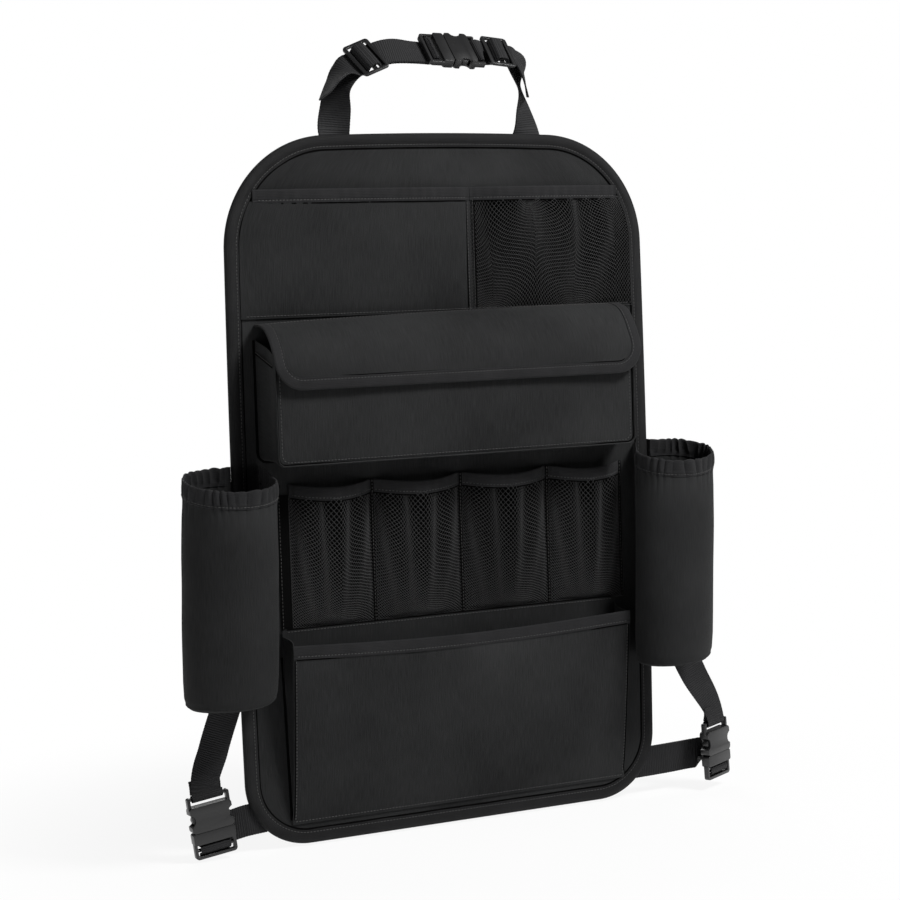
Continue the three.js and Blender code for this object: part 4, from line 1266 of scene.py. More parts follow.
@dataclass
class FlapPocket:
    """The boxed pocket in the middle with the flap that hangs over its mouth.

    Attributes:
        panel: The panel that it is sewn to.
        back_width: Over the side walls at the panel, in millimetres.
        front_width: Over the side walls at the front.
        depth: How far the front stands from the panel.
        back_top: The side walls' top at the panel.
        front_top: The front's top.
        back_bottom: The wall's lower seam.
        front_bottom: The front's lower edge.
        corner: The lower corners' radius.
        set_left: How far the front is set to the left.
    """

    panel: Panel
    back_width: float = 354.0
    front_width: float = 342.0
    depth: float = 34.0
    back_top: float = 129.0
    front_top: float = 117.0
    back_bottom: float = 28.0
    front_bottom: float = 24.5
    corner: float = 7.0
    set_left: float = 4.0

    def route(self, share: float) -> np.ndarray:
        """The wall's way down one side, along its foot and up the other, as X and Z rows."""
        half = (self.back_width * (1 - share) + self.front_width * share) / 2
        top = self.back_top * (1 - share) + self.front_top * share
        floor = self.back_bottom * (1 - share) + self.front_bottom * share
        return round_foot(half, top, floor, self.corner, 9) - np.array([self.set_left * share, 0.0])

    def wall(self) -> bpy.types.Object:
        """The gusset that makes the pocket deep, with a soft crease along its middle."""
        near, far = self.route(0.0), self.route(1.0)

        def surface(u: np.ndarray, v: np.ndarray) -> np.ndarray:
            """The wall from the panel, at v 0, to the front."""
            at_back, at_front = along_polyline(near, u), along_polyline(far, u)
            at = at_back * (1 - v[:, None]) + at_front * v[:, None]
            tangent = heading(near, u, 0.002)
            inward = np.stack([-tangent[:, 1], tangent[:, 0]], axis=1)
            side = np.abs(2 * u - 1) ** 0.5
            fold = 0.7 + (1.6 * side + 0.5 * lumps(u * 9, v * 0.8, 21)) * np.sin(math.pi * v) ** 1.2
            at = at + inward * fold[:, None]
            return rows_of(at[:, 0], -self.panel.face - 0.3 - v * (self.depth - 0.3), at[:, 1])

        return Cut("flap_pocket_gusset", 220, 14, 545.0, self.depth, 1.0, offset=0.0).lay(surface)

    def front_face(self, x: np.ndarray, z: np.ndarray) -> np.ndarray:
        """How far forward the front's outer face is."""
        u = (x / self.front_width) + 0.5
        t = (z - self.front_bottom) / (self.front_top - self.front_bottom)
        hem = np.clip((self.front_top - z) / 12, 0.0, 1.0)
        swell = 3.5 * fullness(u) * fullness(t) * hem
        creases = 0.45 * lumps(x / 75 + t * 0.6, t * 1.2, 31) * fullness(u) * fullness(t)
        return -self.panel.face - self.depth - 1.5 - swell - creases

    def front(self) -> bpy.types.Object:
        """The pocket's front, with rounded lower corners."""

        def surface(u: np.ndarray, v: np.ndarray) -> np.ndarray:
            """The swelling front."""
            z = self.front_bottom + v * (self.front_top - self.front_bottom)
            low = np.clip(1 - (z - self.front_bottom) / self.corner, 0.0, 1.0)
            half = self.front_width / 2 - self.corner * (1 - np.sqrt(1 - low**2))
            x = (2 * u - 1) * half
            return rows_of(x - self.set_left, self.front_face(x, z) + 0.5, z)

        return Cut("flap_pocket_face", 150, 50, self.front_width, 92.5, 1.0, offset=0.0).lay(surface)

    def edge_fold(self) -> bpy.types.Object:
        """The narrow fold of cloth that stands along the front's sides and foot."""
        path = self.route(1.0)
        section = np.array(
            [
                [-0.2, 0.6], [-0.3, 1.9], [0.3, 2.5], [0.9, 1.9], [1.0, 0.6], [1.1, -0.8], [-0.2, -0.8],
                [-0.2, 0.6],
            ]
        )

        def surface(u: np.ndarray, v: np.ndarray) -> np.ndarray:
            """The fold round its section: across the edge, and forward of the front."""
            at = along_polyline(path, u)
            tangent = heading(path, u, 0.002)
            outward = np.stack([tangent[:, 1], -tangent[:, 0]], axis=1)
            cut = along_polyline(section, v)
            at = at + outward * (cut[:, :1] - 0.9)
            forward = cut[:, 1] + 0.15 * lumps(u * 30, u * 0, 4)
            return rows_of(at[:, 0], -self.panel.face - self.depth - 1.4 - forward, at[:, 1])

        return rolled(Cut("flap_pocket_edge_fold", 260, 22, 520.0, 8.0), surface)

    def seams(self, thread: Thread) -> None:
        """The stitches inside the front's edge and at the walls' hems, and the near-black strips that paint the
        shade in the creases along the edges.
        """
        back = along_polyline(self.route(0.0), np.linspace(0.0, 1.0, 260))
        back = rows_of(back[:, 0], -self.panel.face - 0.5, back[:, 1])
        # Near-black strips beside the back seam and the front's edge paint the shade of those creases.
        thread.crease("flap_pocket_back_valley", back, beside=-1.0, width=2.0)
        at = along_polyline(self.route(1.0), np.linspace(0.01, 0.99, 260))
        rim = rows_of(at[:, 0], -self.panel.face - self.depth - 1.6, at[:, 1])
        thread.crease("flap_pocket_edge_valley", rim, beside=1.7, width=1.2)
        slope = np.array([[0.0, self.back_top], [1.0, self.front_top]])
        top = along_polyline(slope, np.linspace(0.04, 0.96, 30))
        for side in Side:
            half = (self.back_width * (1 - top[:, 0]) + self.front_width * top[:, 0]) / 2
            x = side.value * (half + 0.3) - self.set_left * top[:, 0]
            hem = rows_of(x, -self.panel.face - 0.3 - top[:, 0] * self.depth, top[:, 1] - 9.5)
            away = np.tile([side.value * 1.0, 0.0, 0.0], (len(hem), 1))
            thread.sew(f"flap_pocket_{side.word}_hem_stitches", hem, away, side.value * 1.3, 0.1)
        middle = np.array([0.0, 70.0])
        at = middle + (at - middle) * np.array([0.974, 0.925])
        face = self.front_face(at[:, 0] + self.set_left, at[:, 1])
        thread.sew("flap_pocket_stitches", rows_of(at[:, 0], face, at[:, 1]))

    def build(self, finishes: Finishes, thread: Thread) -> None:
        """Makes the wall, the front and its folded edge."""
        wall = dress(self.wall(), finishes.cloth, Slot.CLOTH, "flap_pocket_wall")
        front = dress(self.front(), finishes.cloth, Slot.CLOTH, "flap_pocket_front")
        dress(self.edge_fold(), finishes.cloth, Slot.CLOTH)
        self.seams(thread)


@dataclass
class Flap:
    """The stiff flap that is sewn above the pocket's mouth and hangs over it.

    Attributes:
        panel: The panel that it is sewn to.
        width: Over its binding, in millimetres.
        centre: Its middle's place across.
        seam: Its seam's height.
        length: From the seam to its lower edge, along the cloth.
        corner: Its lower corners' radius.
        tape_width: The binding's width.
    """

    panel: Panel
    width: float = 350.0
    centre: float = -2.0
    seam: float = 147.2
    length: float = 80.0
    corner: float = 25.0
    tape_width: float = 10.0

    def profile(self) -> np.ndarray:
        """The flap's side view as depth and height rows, rounded through its main points."""
        face, seam = self.panel.face, self.seam
        points = np.array(
            [
                [-face - 0.3, seam], [-face - 8, seam - 0.3], [-face - 20, seam - 5], [-face - 31, seam - 17],
                [-face - 40.5, seam - 35], [-face - 42.5, seam - 49], [-face - 42.5, seam - 60],
            ]
        )
        padded = np.concatenate([[2 * points[0] - points[1]], points, [2 * points[-1] - points[-2]]])
        t = np.linspace(0.0, 1.0, 12, endpoint=False)[:, None]
        pieces = []
        for a, b, c, d in zip(padded, padded[1:], padded[2:], padded[3:]):
            curve = (2 * a - 5 * b + 4 * c - d) * t**2 + (3 * b - a - 3 * c + d) * t**3
            pieces.append(0.5 * (2 * b + (c - a) * t + curve))
        return np.concatenate(pieces + [points[-1:]])

    def on_flap(self, x: np.ndarray, distance: np.ndarray, lift: np.ndarray) -> np.ndarray:
        """A place on the flap: across, along from its seam and off its middle layer."""
        profile = self.profile()
        share = distance / self.length
        at = along_polyline(profile, share)
        ahead = heading(profile, share, 0.01)
        sway = 0.5 * lumps(x / 130, distance / 60, 41) * smooth(share)
        off = lift + sway
        drop = 6.4 * np.clip(0.5 - x / self.width, 0.0, 1.0) ** 2.2 * (1 - smooth(share * 1.6))
        return rows_of(self.centre + x, at[:, 0] + ahead[:, 1] * off, at[:, 1] - ahead[:, 0] * off - drop)

    def border(self) -> np.ndarray:
        """The way down one side, along the lower edge and up the other, as across and along rows."""
        return round_foot(self.width / 2, 0.0, self.length, self.corner, 14)

    def inset_border(self, u: np.ndarray, inset: np.ndarray) -> np.ndarray:
        """Places along the border, moved inwards."""
        path = self.border()
        at = along_polyline(path, u)
        ahead = heading(path, u, 0.004)
        inward = np.stack([ahead[:, 1], -ahead[:, 0]], axis=1)
        return at + inward * np.asarray(inset)[..., None]

    def body(self) -> bpy.types.Object:
        """The flap's cloth, whose edge is under the binding."""
        inset = 3.0

        def surface(u: np.ndarray, v: np.ndarray) -> np.ndarray:
            """The cloth from its seam to its lower edge."""
            distance = v * (self.length - inset)
            radius = self.corner - inset
            drop = np.clip(distance - (self.length - inset - radius), 0.0, radius)
            half = self.width / 2 - inset - radius + np.sqrt(radius**2 - drop**2)
            return self.on_flap((2 * u - 1) * half, distance, 0 * u)

        return Cut("flap_cloth", 170, 50, self.width, self.length, 1.5, offset=0.0).lay(surface)

    def binding(self) -> bpy.types.Object:
        """The tape folded over the flap's edge."""
        wide = self.tape_width
        section = np.array(
            [
                [wide, 0.8], [wide - 0.3, 1.35], [wide - 1.2, 1.3], [wide - 2.0, 0.8], [wide - 2.8, 1.3],
                [wide / 2, 1.45], [1.6, 1.3], [0.4, 0.8], [0.0, 0.0], [0.4, -0.8], [1.6, -1.2],
                [wide / 2, -1.2], [wide - 0.3, -1.2], [wide, -0.8], [wide, 0.8],
            ]
        )

        def surface(u: np.ndarray, v: np.ndarray) -> np.ndarray:
            """The folded tape round its section."""
            cut = along_polyline(section, v)
            wander = 0.3 * lumps(u * 14, u * 0, 6) * (cut[:, 0] > wide - 1)
            at = self.inset_border(u, cut[:, 0] + wander)
            return self.on_flap(at[:, 0], at[:, 1], cut[:, 1])

        return rolled(Cut("flap_edge_tape", 300, 34, 490.0, 24.0), surface)

    def seams(self, thread: Thread) -> None:
        """The stitches along the binding and at the flap's seam."""
        edge = self.inset_border(np.linspace(0.005, 0.995, 280), np.full(280, self.tape_width - 1.9))
        x = np.linspace(-self.width / 2 + 1, self.width / 2 - 1, 200)
        hinge = np.stack([x, np.full_like(x, 3.0)], axis=1)
        for name, at, beside, sink in (("tape", edge, 2.2, 0.35), ("seam", hinge, 2.6, 0.9)):
            path, raised = (self.on_flap(*at.T, np.full(len(at), lift)) for lift in (0.85, 1.85))
            # Each seam gets a near-black strip beside it that paints the shade of its crease.
            thread.sew(f"flap_{name}_stitches", path, raised - path, beside, sink)

    def build(self, finishes: Finishes, thread: Thread) -> None:
        """Makes the flap."""
        cloth = dress(self.body(), finishes.cloth, Slot.CLOTH, "flap")
        tape = dress(self.binding(), finishes.tape, Slot.TAPE, "flap_binding")
        self.seams(thread)


@dataclass
class LowerPocket:
    """The deep lower pocket with its folded sides and taped mouth.

    Attributes:
        panel: The panel that it is sewn to.
        width: Its width in millimetres.
        mouth: Its mouth's height at the sides.
        sag: How far the mouth sags in its middle.
        foot: Its lower seam.
        depth: How far its mouth stands out.
    """

    panel: Panel
    width: float = 326.0
    mouth: float = -125.5
    sag: float = 5.0
    foot: float = -282.0
    depth: float = 25.0

    def standoff(self, z: np.ndarray) -> np.ndarray:
        """How far the pocket's sides stand out at a height."""
        seam = self.foot + 3.0
        return self.depth * np.clip((z - seam) / (self.mouth - seam), 0.0, 1.0) ** 0.8

    def drift(self, z: np.ndarray) -> np.ndarray:
        """How far to the right the pocket hangs toward its foot."""
        return 4.0 * np.clip((self.mouth - z) / (self.mouth - self.foot), 0.0, 1.0)

    def mouth_at(self, x: np.ndarray) -> np.ndarray:
        """The mouth's height."""
        return self.mouth - self.sag * np.cos(math.pi * x / self.width)

    def face_at(self, x: np.ndarray, z: np.ndarray) -> np.ndarray:
        """The front's inner face."""
        u = x / self.width + 0.5
        t = (z - self.foot) / (self.mouth - self.foot)
        swell = 4.0 * fullness(u) * fullness(t)
        creases = 0.7 * lumps(x / 85 + t * 0.4, t * 1.6, 51) * fullness(u) ** 1.3 * smooth(t * 4)
        return -self.panel.face - self.standoff(z) - swell - creases

    def front(self) -> bpy.types.Object:
        """The pocket's front below its tape."""

        def surface(u: np.ndarray, v: np.ndarray) -> np.ndarray:
            """The slack front."""
            x = (2 * u - 1) * self.width / 2
            z = self.foot + v * (self.mouth_at(x) - 10.0 - self.foot)
            return rows_of(x + self.drift(z), self.face_at(x, z) - 0.6, z)

        return Cut("lower_pocket_face", 140, 70, self.width, 146.0, 1.0, offset=0.0).lay(surface)

    def tape_edge(self, u: np.ndarray, up: np.ndarray) -> np.ndarray:
        """The place at the tape's back."""
        x = (2 * u - 1) * self.width / 2
        z = self.mouth_at(x) - 11.5 + up
        return rows_of(x, self.face_at(x, self.mouth_at(x) - 6.0) + 0.1, z)

    def gusset(self, side: Side) -> bpy.types.Object:
        """One folded side."""

        def surface(u: np.ndarray, v: np.ndarray) -> np.ndarray:
            """The side from the panel, at u 0, to the front, with its crease."""
            top = self.mouth + 6.5 * (1 - u) - 1.5
            z = self.foot + 5.0 + v * (top - self.foot - 5.0)
            depth = np.maximum(self.standoff(z) - 0.3, 0.4)
            fold = 3.6 * np.sin(math.pi * u) ** 1.5 * np.minimum(1.0, depth / 8)
            fold = fold + 0.5 * lumps(u * 0.8, v * 3, 61)
            x = side.value * (self.width / 2 - 1.0 - np.maximum(fold, 0.0))
            return rows_of(x + self.drift(z), -self.panel.face - 0.2 - u * depth, z)

        name = f"lower_pocket_{side.word}_side"
        return Cut(name, 18, 60, 28.0, 145.0, 0.8, offset=0.0).lay(surface)

    def back_band(self) -> bpy.types.Object:
        """The pocket's own back, which is sewn over the net row's foot and shows above the mouth."""

        def surface(u: np.ndarray, v: np.ndarray) -> np.ndarray:
            """A thin flat band."""
            x = (2 * u - 1) * (self.width / 2 - 0.5)
            z = self.mouth - 30.0 + v * 39.5
            return rows_of(x, -self.panel.face - 1.3 - 0.3 * smooth(v * 6 - 5), z)

        return Cut("lower_pocket_back_band", 120, 30, self.width, 39.5, 0.6, offset=0.0).lay(surface)

    def seams(self, thread: Thread) -> None:
        """The stitches at the mouth, the sides and the foot, and on the strip above."""
        thread.sew_mouth("lower_mouth_stitches", self.tape_edge, 0.01, 280, 0.9)
        z = np.linspace(self.foot + 4.0, self.mouth - 13.0, 90)
        for side in Side:
            x = np.full_like(z, side.value * (self.width / 2 - 2.4))
            path = rows_of(x + self.drift(z), self.face_at(x, z) - 1.05, z)
            # Each side seam, each side's back and the band's seam get a near-black strip that paints the shade
            # of the crease there.
            thread.sew(f"lower_{side.word}_stitches", path, beside=-side.value * 1.2, sink=0.1)
            back = rows_of(side.value * (self.width / 2 + 0.6) + self.drift(z), -self.panel.face - 0.5, z)
            thread.crease(f"lower_{side.word}_back_valley", back, width=2.0)
        x = np.linspace(-self.width / 2 + 2, self.width / 2 - 2, 240)
        z = np.full_like(x, self.foot + 2.5)
        thread.sew("lower_foot_stitches", rows_of(x + self.drift(z), self.face_at(x, z) - 1.05, z))
        band = rows_of(x[2:-2], -self.panel.face - 1.95, self.mouth + 8.2)
        thread.sew("row_foot_stitches", band, beside=2.0, sink=0.2)

    def build(self, finishes: Finishes, thread: Thread) -> None:
        """Makes the pocket."""
        front = dress(self.front(), finishes.cloth, Slot.CLOTH, "lower_pocket_front")
        tape = HemTape("lower_pocket_tape", columns=160).lay(self.tape_edge, 329.0)
        dress(tape, finishes.tape, Slot.TAPE, "lower_pocket_binding")
        for side in Side:
            node = f"lower_pocket_{side.word}_gusset"
            piece = dress(self.gusset(side), finishes.cloth, Slot.CLOTH, node)
        dress(self.back_band(), finishes.cloth, Slot.CLOTH)
        self.seams(thread)


@dataclass
class BottleSleeve:
    """A round sleeve at the panel's side, with a gathered elastic mouth and a flat base.

    Attributes:
        panel: The panel that it is sewn to.
        side: Which side it is on.
        offset: How far its middle is past the panel's edge, in millimetres.
        axis_depth: How far its middle is from the panel's back.
        half_width: Half its greater width.
        half_depth: Half its lesser width.
        turn: How far its oval is turned, in degrees.
        bottom: Its lower end's height.
        rim: Its mouth's height.
        rim_slope: How much lower the mouth is toward the front.
        hem: The elastic hem's height.
        gathers: How many gathers the elastic makes.
        sewn_at: Where it is sewn to the panel's face, from the panel's middle.
    """

    panel: Panel
    side: Side
    offset: float = 13.0
    axis_depth: float = 35.5
    half_width: float = 39.2
    half_depth: float = 30.5
    turn: float = 10.0
    bottom: float = -173.0
    rim: float = 16.0
    rim_slope: float = 0.25
    hem: float = 15.5
    gathers: int = 27
    sewn_at: float = 177.0

    def oval(self, around: np.ndarray, scale: np.ndarray, extra: np.ndarray, z: np.ndarray) -> np.ndarray:
        """A place on the sleeve's oval, kept in front of the panel and leaning a little to the left."""
        along = (self.half_width * scale + extra) * np.cos(around)
        across = (self.half_depth * scale + extra) * np.sin(around)
        tilt = math.radians(self.turn)
        x = self.panel.width / 2 + self.offset + along * math.cos(tilt) - across * math.sin(tilt)
        y = -self.axis_depth + along * math.sin(tilt) + across * math.cos(tilt)
        limit = np.interp(x, [203.5, 210.0], [-self.panel.face - self.panel.tape_gauge - 0.9, 0.0])
        lean = 2.5 + 6.5 * np.clip((self.rim - z) / (self.rim - self.bottom), 0.0, 1.0)
        return rows_of(self.side.value * x - lean, np.minimum(y, limit), z)

    def strip(self, u: np.ndarray, scale: np.ndarray, extra: np.ndarray, z: np.ndarray) -> np.ndarray:
        """A place on the sleeve's strip, which goes from the panel's edge round to the panel's face."""
        first, last, sewn, round_share = math.radians(93), math.radians(-195), 0.03, 0.86
        share = np.clip((u - sewn) / (round_share - sewn), 0.0, 1.0)
        at = self.oval(first + (last - first) * share, scale, extra, z)
        start = rows_of(np.full_like(u, self.side.value * 201.6), -self.panel.face / 2, z)
        end = rows_of(np.full_like(u, self.side.value * self.sewn_at), -self.panel.face - 0.8, z)
        home = np.clip((u - round_share) / (1 - round_share), 0.0, 1.0)[:, None]
        away = np.clip(u / sewn, 0.0, 1.0)[:, None]
        return start * (1 - away) + (at * (1 - home) + end * home) * away

    def rim_at(self, u: np.ndarray) -> np.ndarray:
        """The mouth's height."""
        flat = self.strip(u, 1.0 + 0 * u, 0 * u, 0 * u)
        return self.rim + self.rim_slope * (flat[:, 1] + self.axis_depth)

    def foot_at(self, flat: np.ndarray) -> np.ndarray:
        """The lower seam's height below a place, which sags toward the front left."""
        middle = np.array([self.side.value * (self.panel.width / 2 + self.offset) - 9.0, -self.axis_depth])
        away = flat[:, :2] - middle
        facing = -(away @ np.array([0.447, 0.892])) / 38.0
        return self.bottom + 7.5 - 6.0 * smooth(0.5 + 0.5 * np.clip(facing, -1.0, 1.0))

    def scale_at(self, share: np.ndarray) -> np.ndarray:
        """How wide the sleeve is at a share of its height."""
        heights = [0.0, 0.012, 0.045, 0.12, 0.4, 0.7, 0.9, 1.0]
        scales = [0.9, 0.955, 1.0, 1.02, 1.03, 1.03, 1.015, 0.985]
        return np.interp(share, heights, scales)

    def gather(self, u: np.ndarray, up: np.ndarray | float = 0.0) -> np.ndarray:
        """The elastic's puffs with sharp folds between them, uneven round the mouth, from 0 to 1."""
        seed = self.side.value * 0.13
        drift = 1.1 * np.sin(math.tau * (2 * u + 0.15 + seed)) + 0.9 * np.sin(math.tau * (5 * u + 0.4))
        slant = 0.9 * up * np.sin(math.tau * (4 * u + 0.3 + seed))
        height = 0.7 + 0.3 * np.sin(math.tau * (7 * u + seed))
        return np.abs(np.cos(math.pi * self.gathers * u + drift + slant)) ** 0.8 * height

    def wall(self) -> bpy.types.Object:
        """The sleeve's cloth, gathered under the hem, with soft creases and a seam round its foot."""
        seed = 70 + self.side.value

        def surface(u: np.ndarray, v: np.ndarray) -> np.ndarray:
            """The slack strip."""
            share = np.where(v < 0.15, (v / 0.15) ** 1.6 * 0.12, 0.12 + (v - 0.15) / 0.85 * 0.88)
            top = self.rim_at(u) - self.hem + 2.5
            rough_z = self.bottom + share * (top - self.bottom)
            foot = self.foot_at(self.strip(u, self.scale_at(share), 0 * u, rough_z))
            z = foot + share * (top - foot)
            below = (top - z) / 11.0
            pleats = 1.5 * (self.gather(u) - 0.4) * np.exp(-below * 1.3) + 0.9 * np.exp(-below * 2)
            creases = 0.4 * lumps(u * 4, share * 1.6, seed) * fullness(share)
            ridge = 0.5 * np.exp(-(((z - foot - 2.2) / 1.1) ** 2))
            return self.strip(u, self.scale_at(share), pleats + creases + ridge - 1.0, z)

        name = f"{self.side.word}_sleeve_cloth"
        return Cut(name, 300, 100, 222.0, 178.0, 0.9, offset=0.0).lay(surface)

    def hem_tape(self) -> bpy.types.Object:
        """The elastic hem: doubled cloth drawn up into gathers."""
        h, g = self.hem, 2.2
        section = np.array(
            [
                [-g, 0.3], [-g, h - 1.2], [-g * 0.8, h - 0.2], [-g / 2, h], [-g * 0.2, h - 0.2],
                [0.0, h - 1.2], [0.3, h * 0.6], [0.15, 3.4], [-0.5, 2.4], [0.0, 1.4], [-0.2, 0.2],
                [-g / 2, 0.0], [-g, 0.3],
            ]
        )

        def surface(u: np.ndarray, v: np.ndarray) -> np.ndarray:
            """The gathered hem round its section."""
            cut = along_polyline(section, v)
            swell = np.interp(cut[:, 1], [0.0, 2.4, 6.0, h * 0.75, h], [1.0, 0.6, 2.6, 2.4, 1.3])
            folds = self.gather(u, cut[:, 1] / h)
            puff = swell * (folds - 0.55)
            scallop = 1.3 * (folds - 0.5) * smooth(cut[:, 1] / h)
            height = self.rim_at(u) - h + cut[:, 1] + scallop
            return self.strip(u, np.full_like(u, 0.985), 0.9 + puff + cut[:, 0], height)

        return rolled(Cut(f"{self.side.word}_sleeve_elastic", 460, 40, 222.0, 34.0), surface)

    def base(self) -> bpy.types.Object:
        """The oval base, which sags with the sleeve's lower seam."""

        def surface(u: np.ndarray, v: np.ndarray) -> np.ndarray:
            """A square spread into an oval."""
            a, b = 2 * u - 1, 2 * v - 1
            x = a * np.sqrt(1 - b * b / 2)
            y = b * np.sqrt(1 - a * a / 2)
            reach = np.hypot(x, y)
            low = np.full_like(u, self.bottom)
            rim = self.oval(np.arctan2(y, x), np.full_like(u, 0.9), np.full_like(u, -1.8), low)
            middle = self.oval(0 * u, 0 * u, 0 * u, low)
            at = middle + (rim - middle) * reach[:, None]
            at[:, 2] = self.foot_at(at) + 0.9
            return at

        name = f"{self.side.word}_sleeve_floor"
        return Cut(name, 28, 28, 70.0, 54.0, 1.4, offset=0.0).lay(surface)

    def seams(self, thread: Thread) -> None:
        """The stitches under the elastic."""
        u = np.linspace(0.03, 0.99, 420)
        extra = 0.75 + 0.7 * (self.gather(u) - 0.5)
        height = self.rim_at(u) - self.hem + 2.4
        path, further = (self.strip(u, np.full_like(u, 0.985), extra + more, height) for more in (0.0, 2.0))
        away = further - path
        away[:, 0] += 1e-4
        # The seam gets a near-black strip beside it that paints the shade of its crease.
        thread.sew(f"{self.side.word}_hem_stitches", path, away, self.side.value * 1.6, 0.4)

    def build(self, finishes: Finishes, thread: Thread) -> None:
        """Makes the sleeve."""
        word = self.side.word
        # The wall and floor take the darkened sleeve cloth, which paints the shade on the sleeves.
        wall = dress(self.wall(), finishes.sleeve, Slot.CLOTH, f"{word}_bottle_sleeve")
        hem = dress(self.hem_tape(), finishes.tape, Slot.CLOTH, f"{word}_bottle_hem")
        base = dress(self.base(), finishes.sleeve, Slot.CLOTH, f"{word}_bottle_base")
        self.seams(thread)


@dataclass(frozen=True)
class Station:
    """A place along a strap: its middle, its outer face's look and, at a mitred fold, the fold's line."""

    place: Vector
    look: Vector
    fold: Vector | None = None


@dataclass
class Webbing:
    """Woven strap webbing.

    Attributes:
        width: In millimetres.
        gauge: Its thickness.
        step: The length of its fine faces.
    """

    width: float = 28.0
    gauge: float = 1.4
    step: float = 1.0

    def section(self) -> np.ndarray:
        """The webbing's section: across and off its middle layer, with round edges."""
        half, thin = self.width / 2, self.gauge / 2
        edge = [
            [half - 0.9, -thin], [half - 0.3, -thin * 0.75], [half, 0.0], [half - 0.3, thin * 0.75],
            [half - 0.9, thin],
        ]
        other = [[-x, -y] for x, y in edge]
        return np.array(edge + [[0.0, thin]] + other + [[0.0, -thin]] + edge[:1])

    def lay(self, name: str, stations: Sequence[Station]) -> bpy.types.Object:
        """Runs the webbing through its stations.

        Args:
            name: The piece's name.
            stations: The places, in order.

        Returns:
            The closed strap.
        """
        places = np.array([station.place for station in stations])
        last = len(places) - 1
        sides, ups = [], []
        for n, station in enumerate(stations):
            ahead = Vector(places[min(n + 1, last)] - places[max(n - 1, 0)]).normalized()
            side = station.fold or ahead.cross(station.look).normalized()
            sides.append(side)
            ups.append(station.look if station.fold else side.cross(ahead).normalized())
        reach = reaches(places)
        where = resampled(reach, max(int(reach[-1] / self.step), 8))
        centre = smooth_rows(reach, places, where)
        side = unit(smooth_rows(reach, np.array(sides), where))
        up = unit(smooth_rows(reach, np.array(ups), where))
        section = self.section()
        columns = 32

        def surface(u: np.ndarray, v: np.ndarray) -> np.ndarray:
            """The strap round its section, with the weave's small teeth along its edges."""
            n = np.clip(np.rint(v * (len(where) - 1)).astype(int), 0, len(where) - 1)
            cut = along_polyline(section, u)
            tooth = 0.12 * np.sin(where[n] * math.tau / 2.6) * (np.abs(cut[:, 0]) > self.width / 2 - 1.2)
            across = cut[:, :1] * (1 + (tooth / (self.width / 2))[:, None])
            return centre[n] + side[n] * across + up[n] * cut[:, 1:]

        piece = Cut(name, columns, len(where) - 1, 57.0, reach[-1]).lay(surface)
        close_tube(piece)
        return piece


def resampled(reach: np.ndarray, count: int) -> np.ndarray:
    """Even distances along a strap that keep every station."""
    even = np.linspace(0.0, reach[-1], count)
    return np.unique(np.round(np.concatenate([even, reach]), 3))


def smooth_rows(reach: np.ndarray, rows: np.ndarray, where: np.ndarray) -> np.ndarray:
    """Values along a strap that pass through the stations without corners."""
    slope = np.zeros_like(rows)
    gaps = np.diff(reach)[:, None]
    parts = np.diff(rows, axis=0) / np.maximum(gaps, 1e-6)
    slope[1:-1] = (parts[:-1] * gaps[1:] + parts[1:] * gaps[:-1]) / (gaps[1:] + gaps[:-1])
    slope[0], slope[-1] = parts[0], parts[-1]
    n = np.clip(np.searchsorted(reach, where, side="right") - 1, 0, len(reach) - 2)
    gap = (reach[n + 1] - reach[n])[:, None]
    t = (where - reach[n])[:, None] / np.maximum(gap, 1e-6)
    first, second = rows[n], rows[n + 1]
    a, b = slope[n] * gap, slope[n + 1] * gap
    return (
        (2 * t**3 - 3 * t**2 + 1) * first
        + (t**3 - 2 * t**2 + t) * a
        + (3 * t**2 - 2 * t**3) * second
        + (t**3 - t**2) * b
    )


@dataclass
class FittingFrame:
    """Places along a plastic fitting: reach runs along its axis and lift stands off its middle plane."""

    centre: Vector
    axis: Vector
    look: Vector

    def __post_init__(self) -> None:
        """Squares the three directions."""
        self.along = self.axis.normalized()
        self.side = self.along.cross(self.look).normalized()
        self.up = self.side.cross(self.along).normalized()

    def at(self, reach: float, lift: float) -> Vector:
        """A place in the middle of the fitting's width."""
        return self.centre + self.along * reach + self.up * lift

    def station(self, reach: float, lift: float) -> Station:
        """A strap's station there."""
        return Station(self.at(reach, lift), self.up.copy())


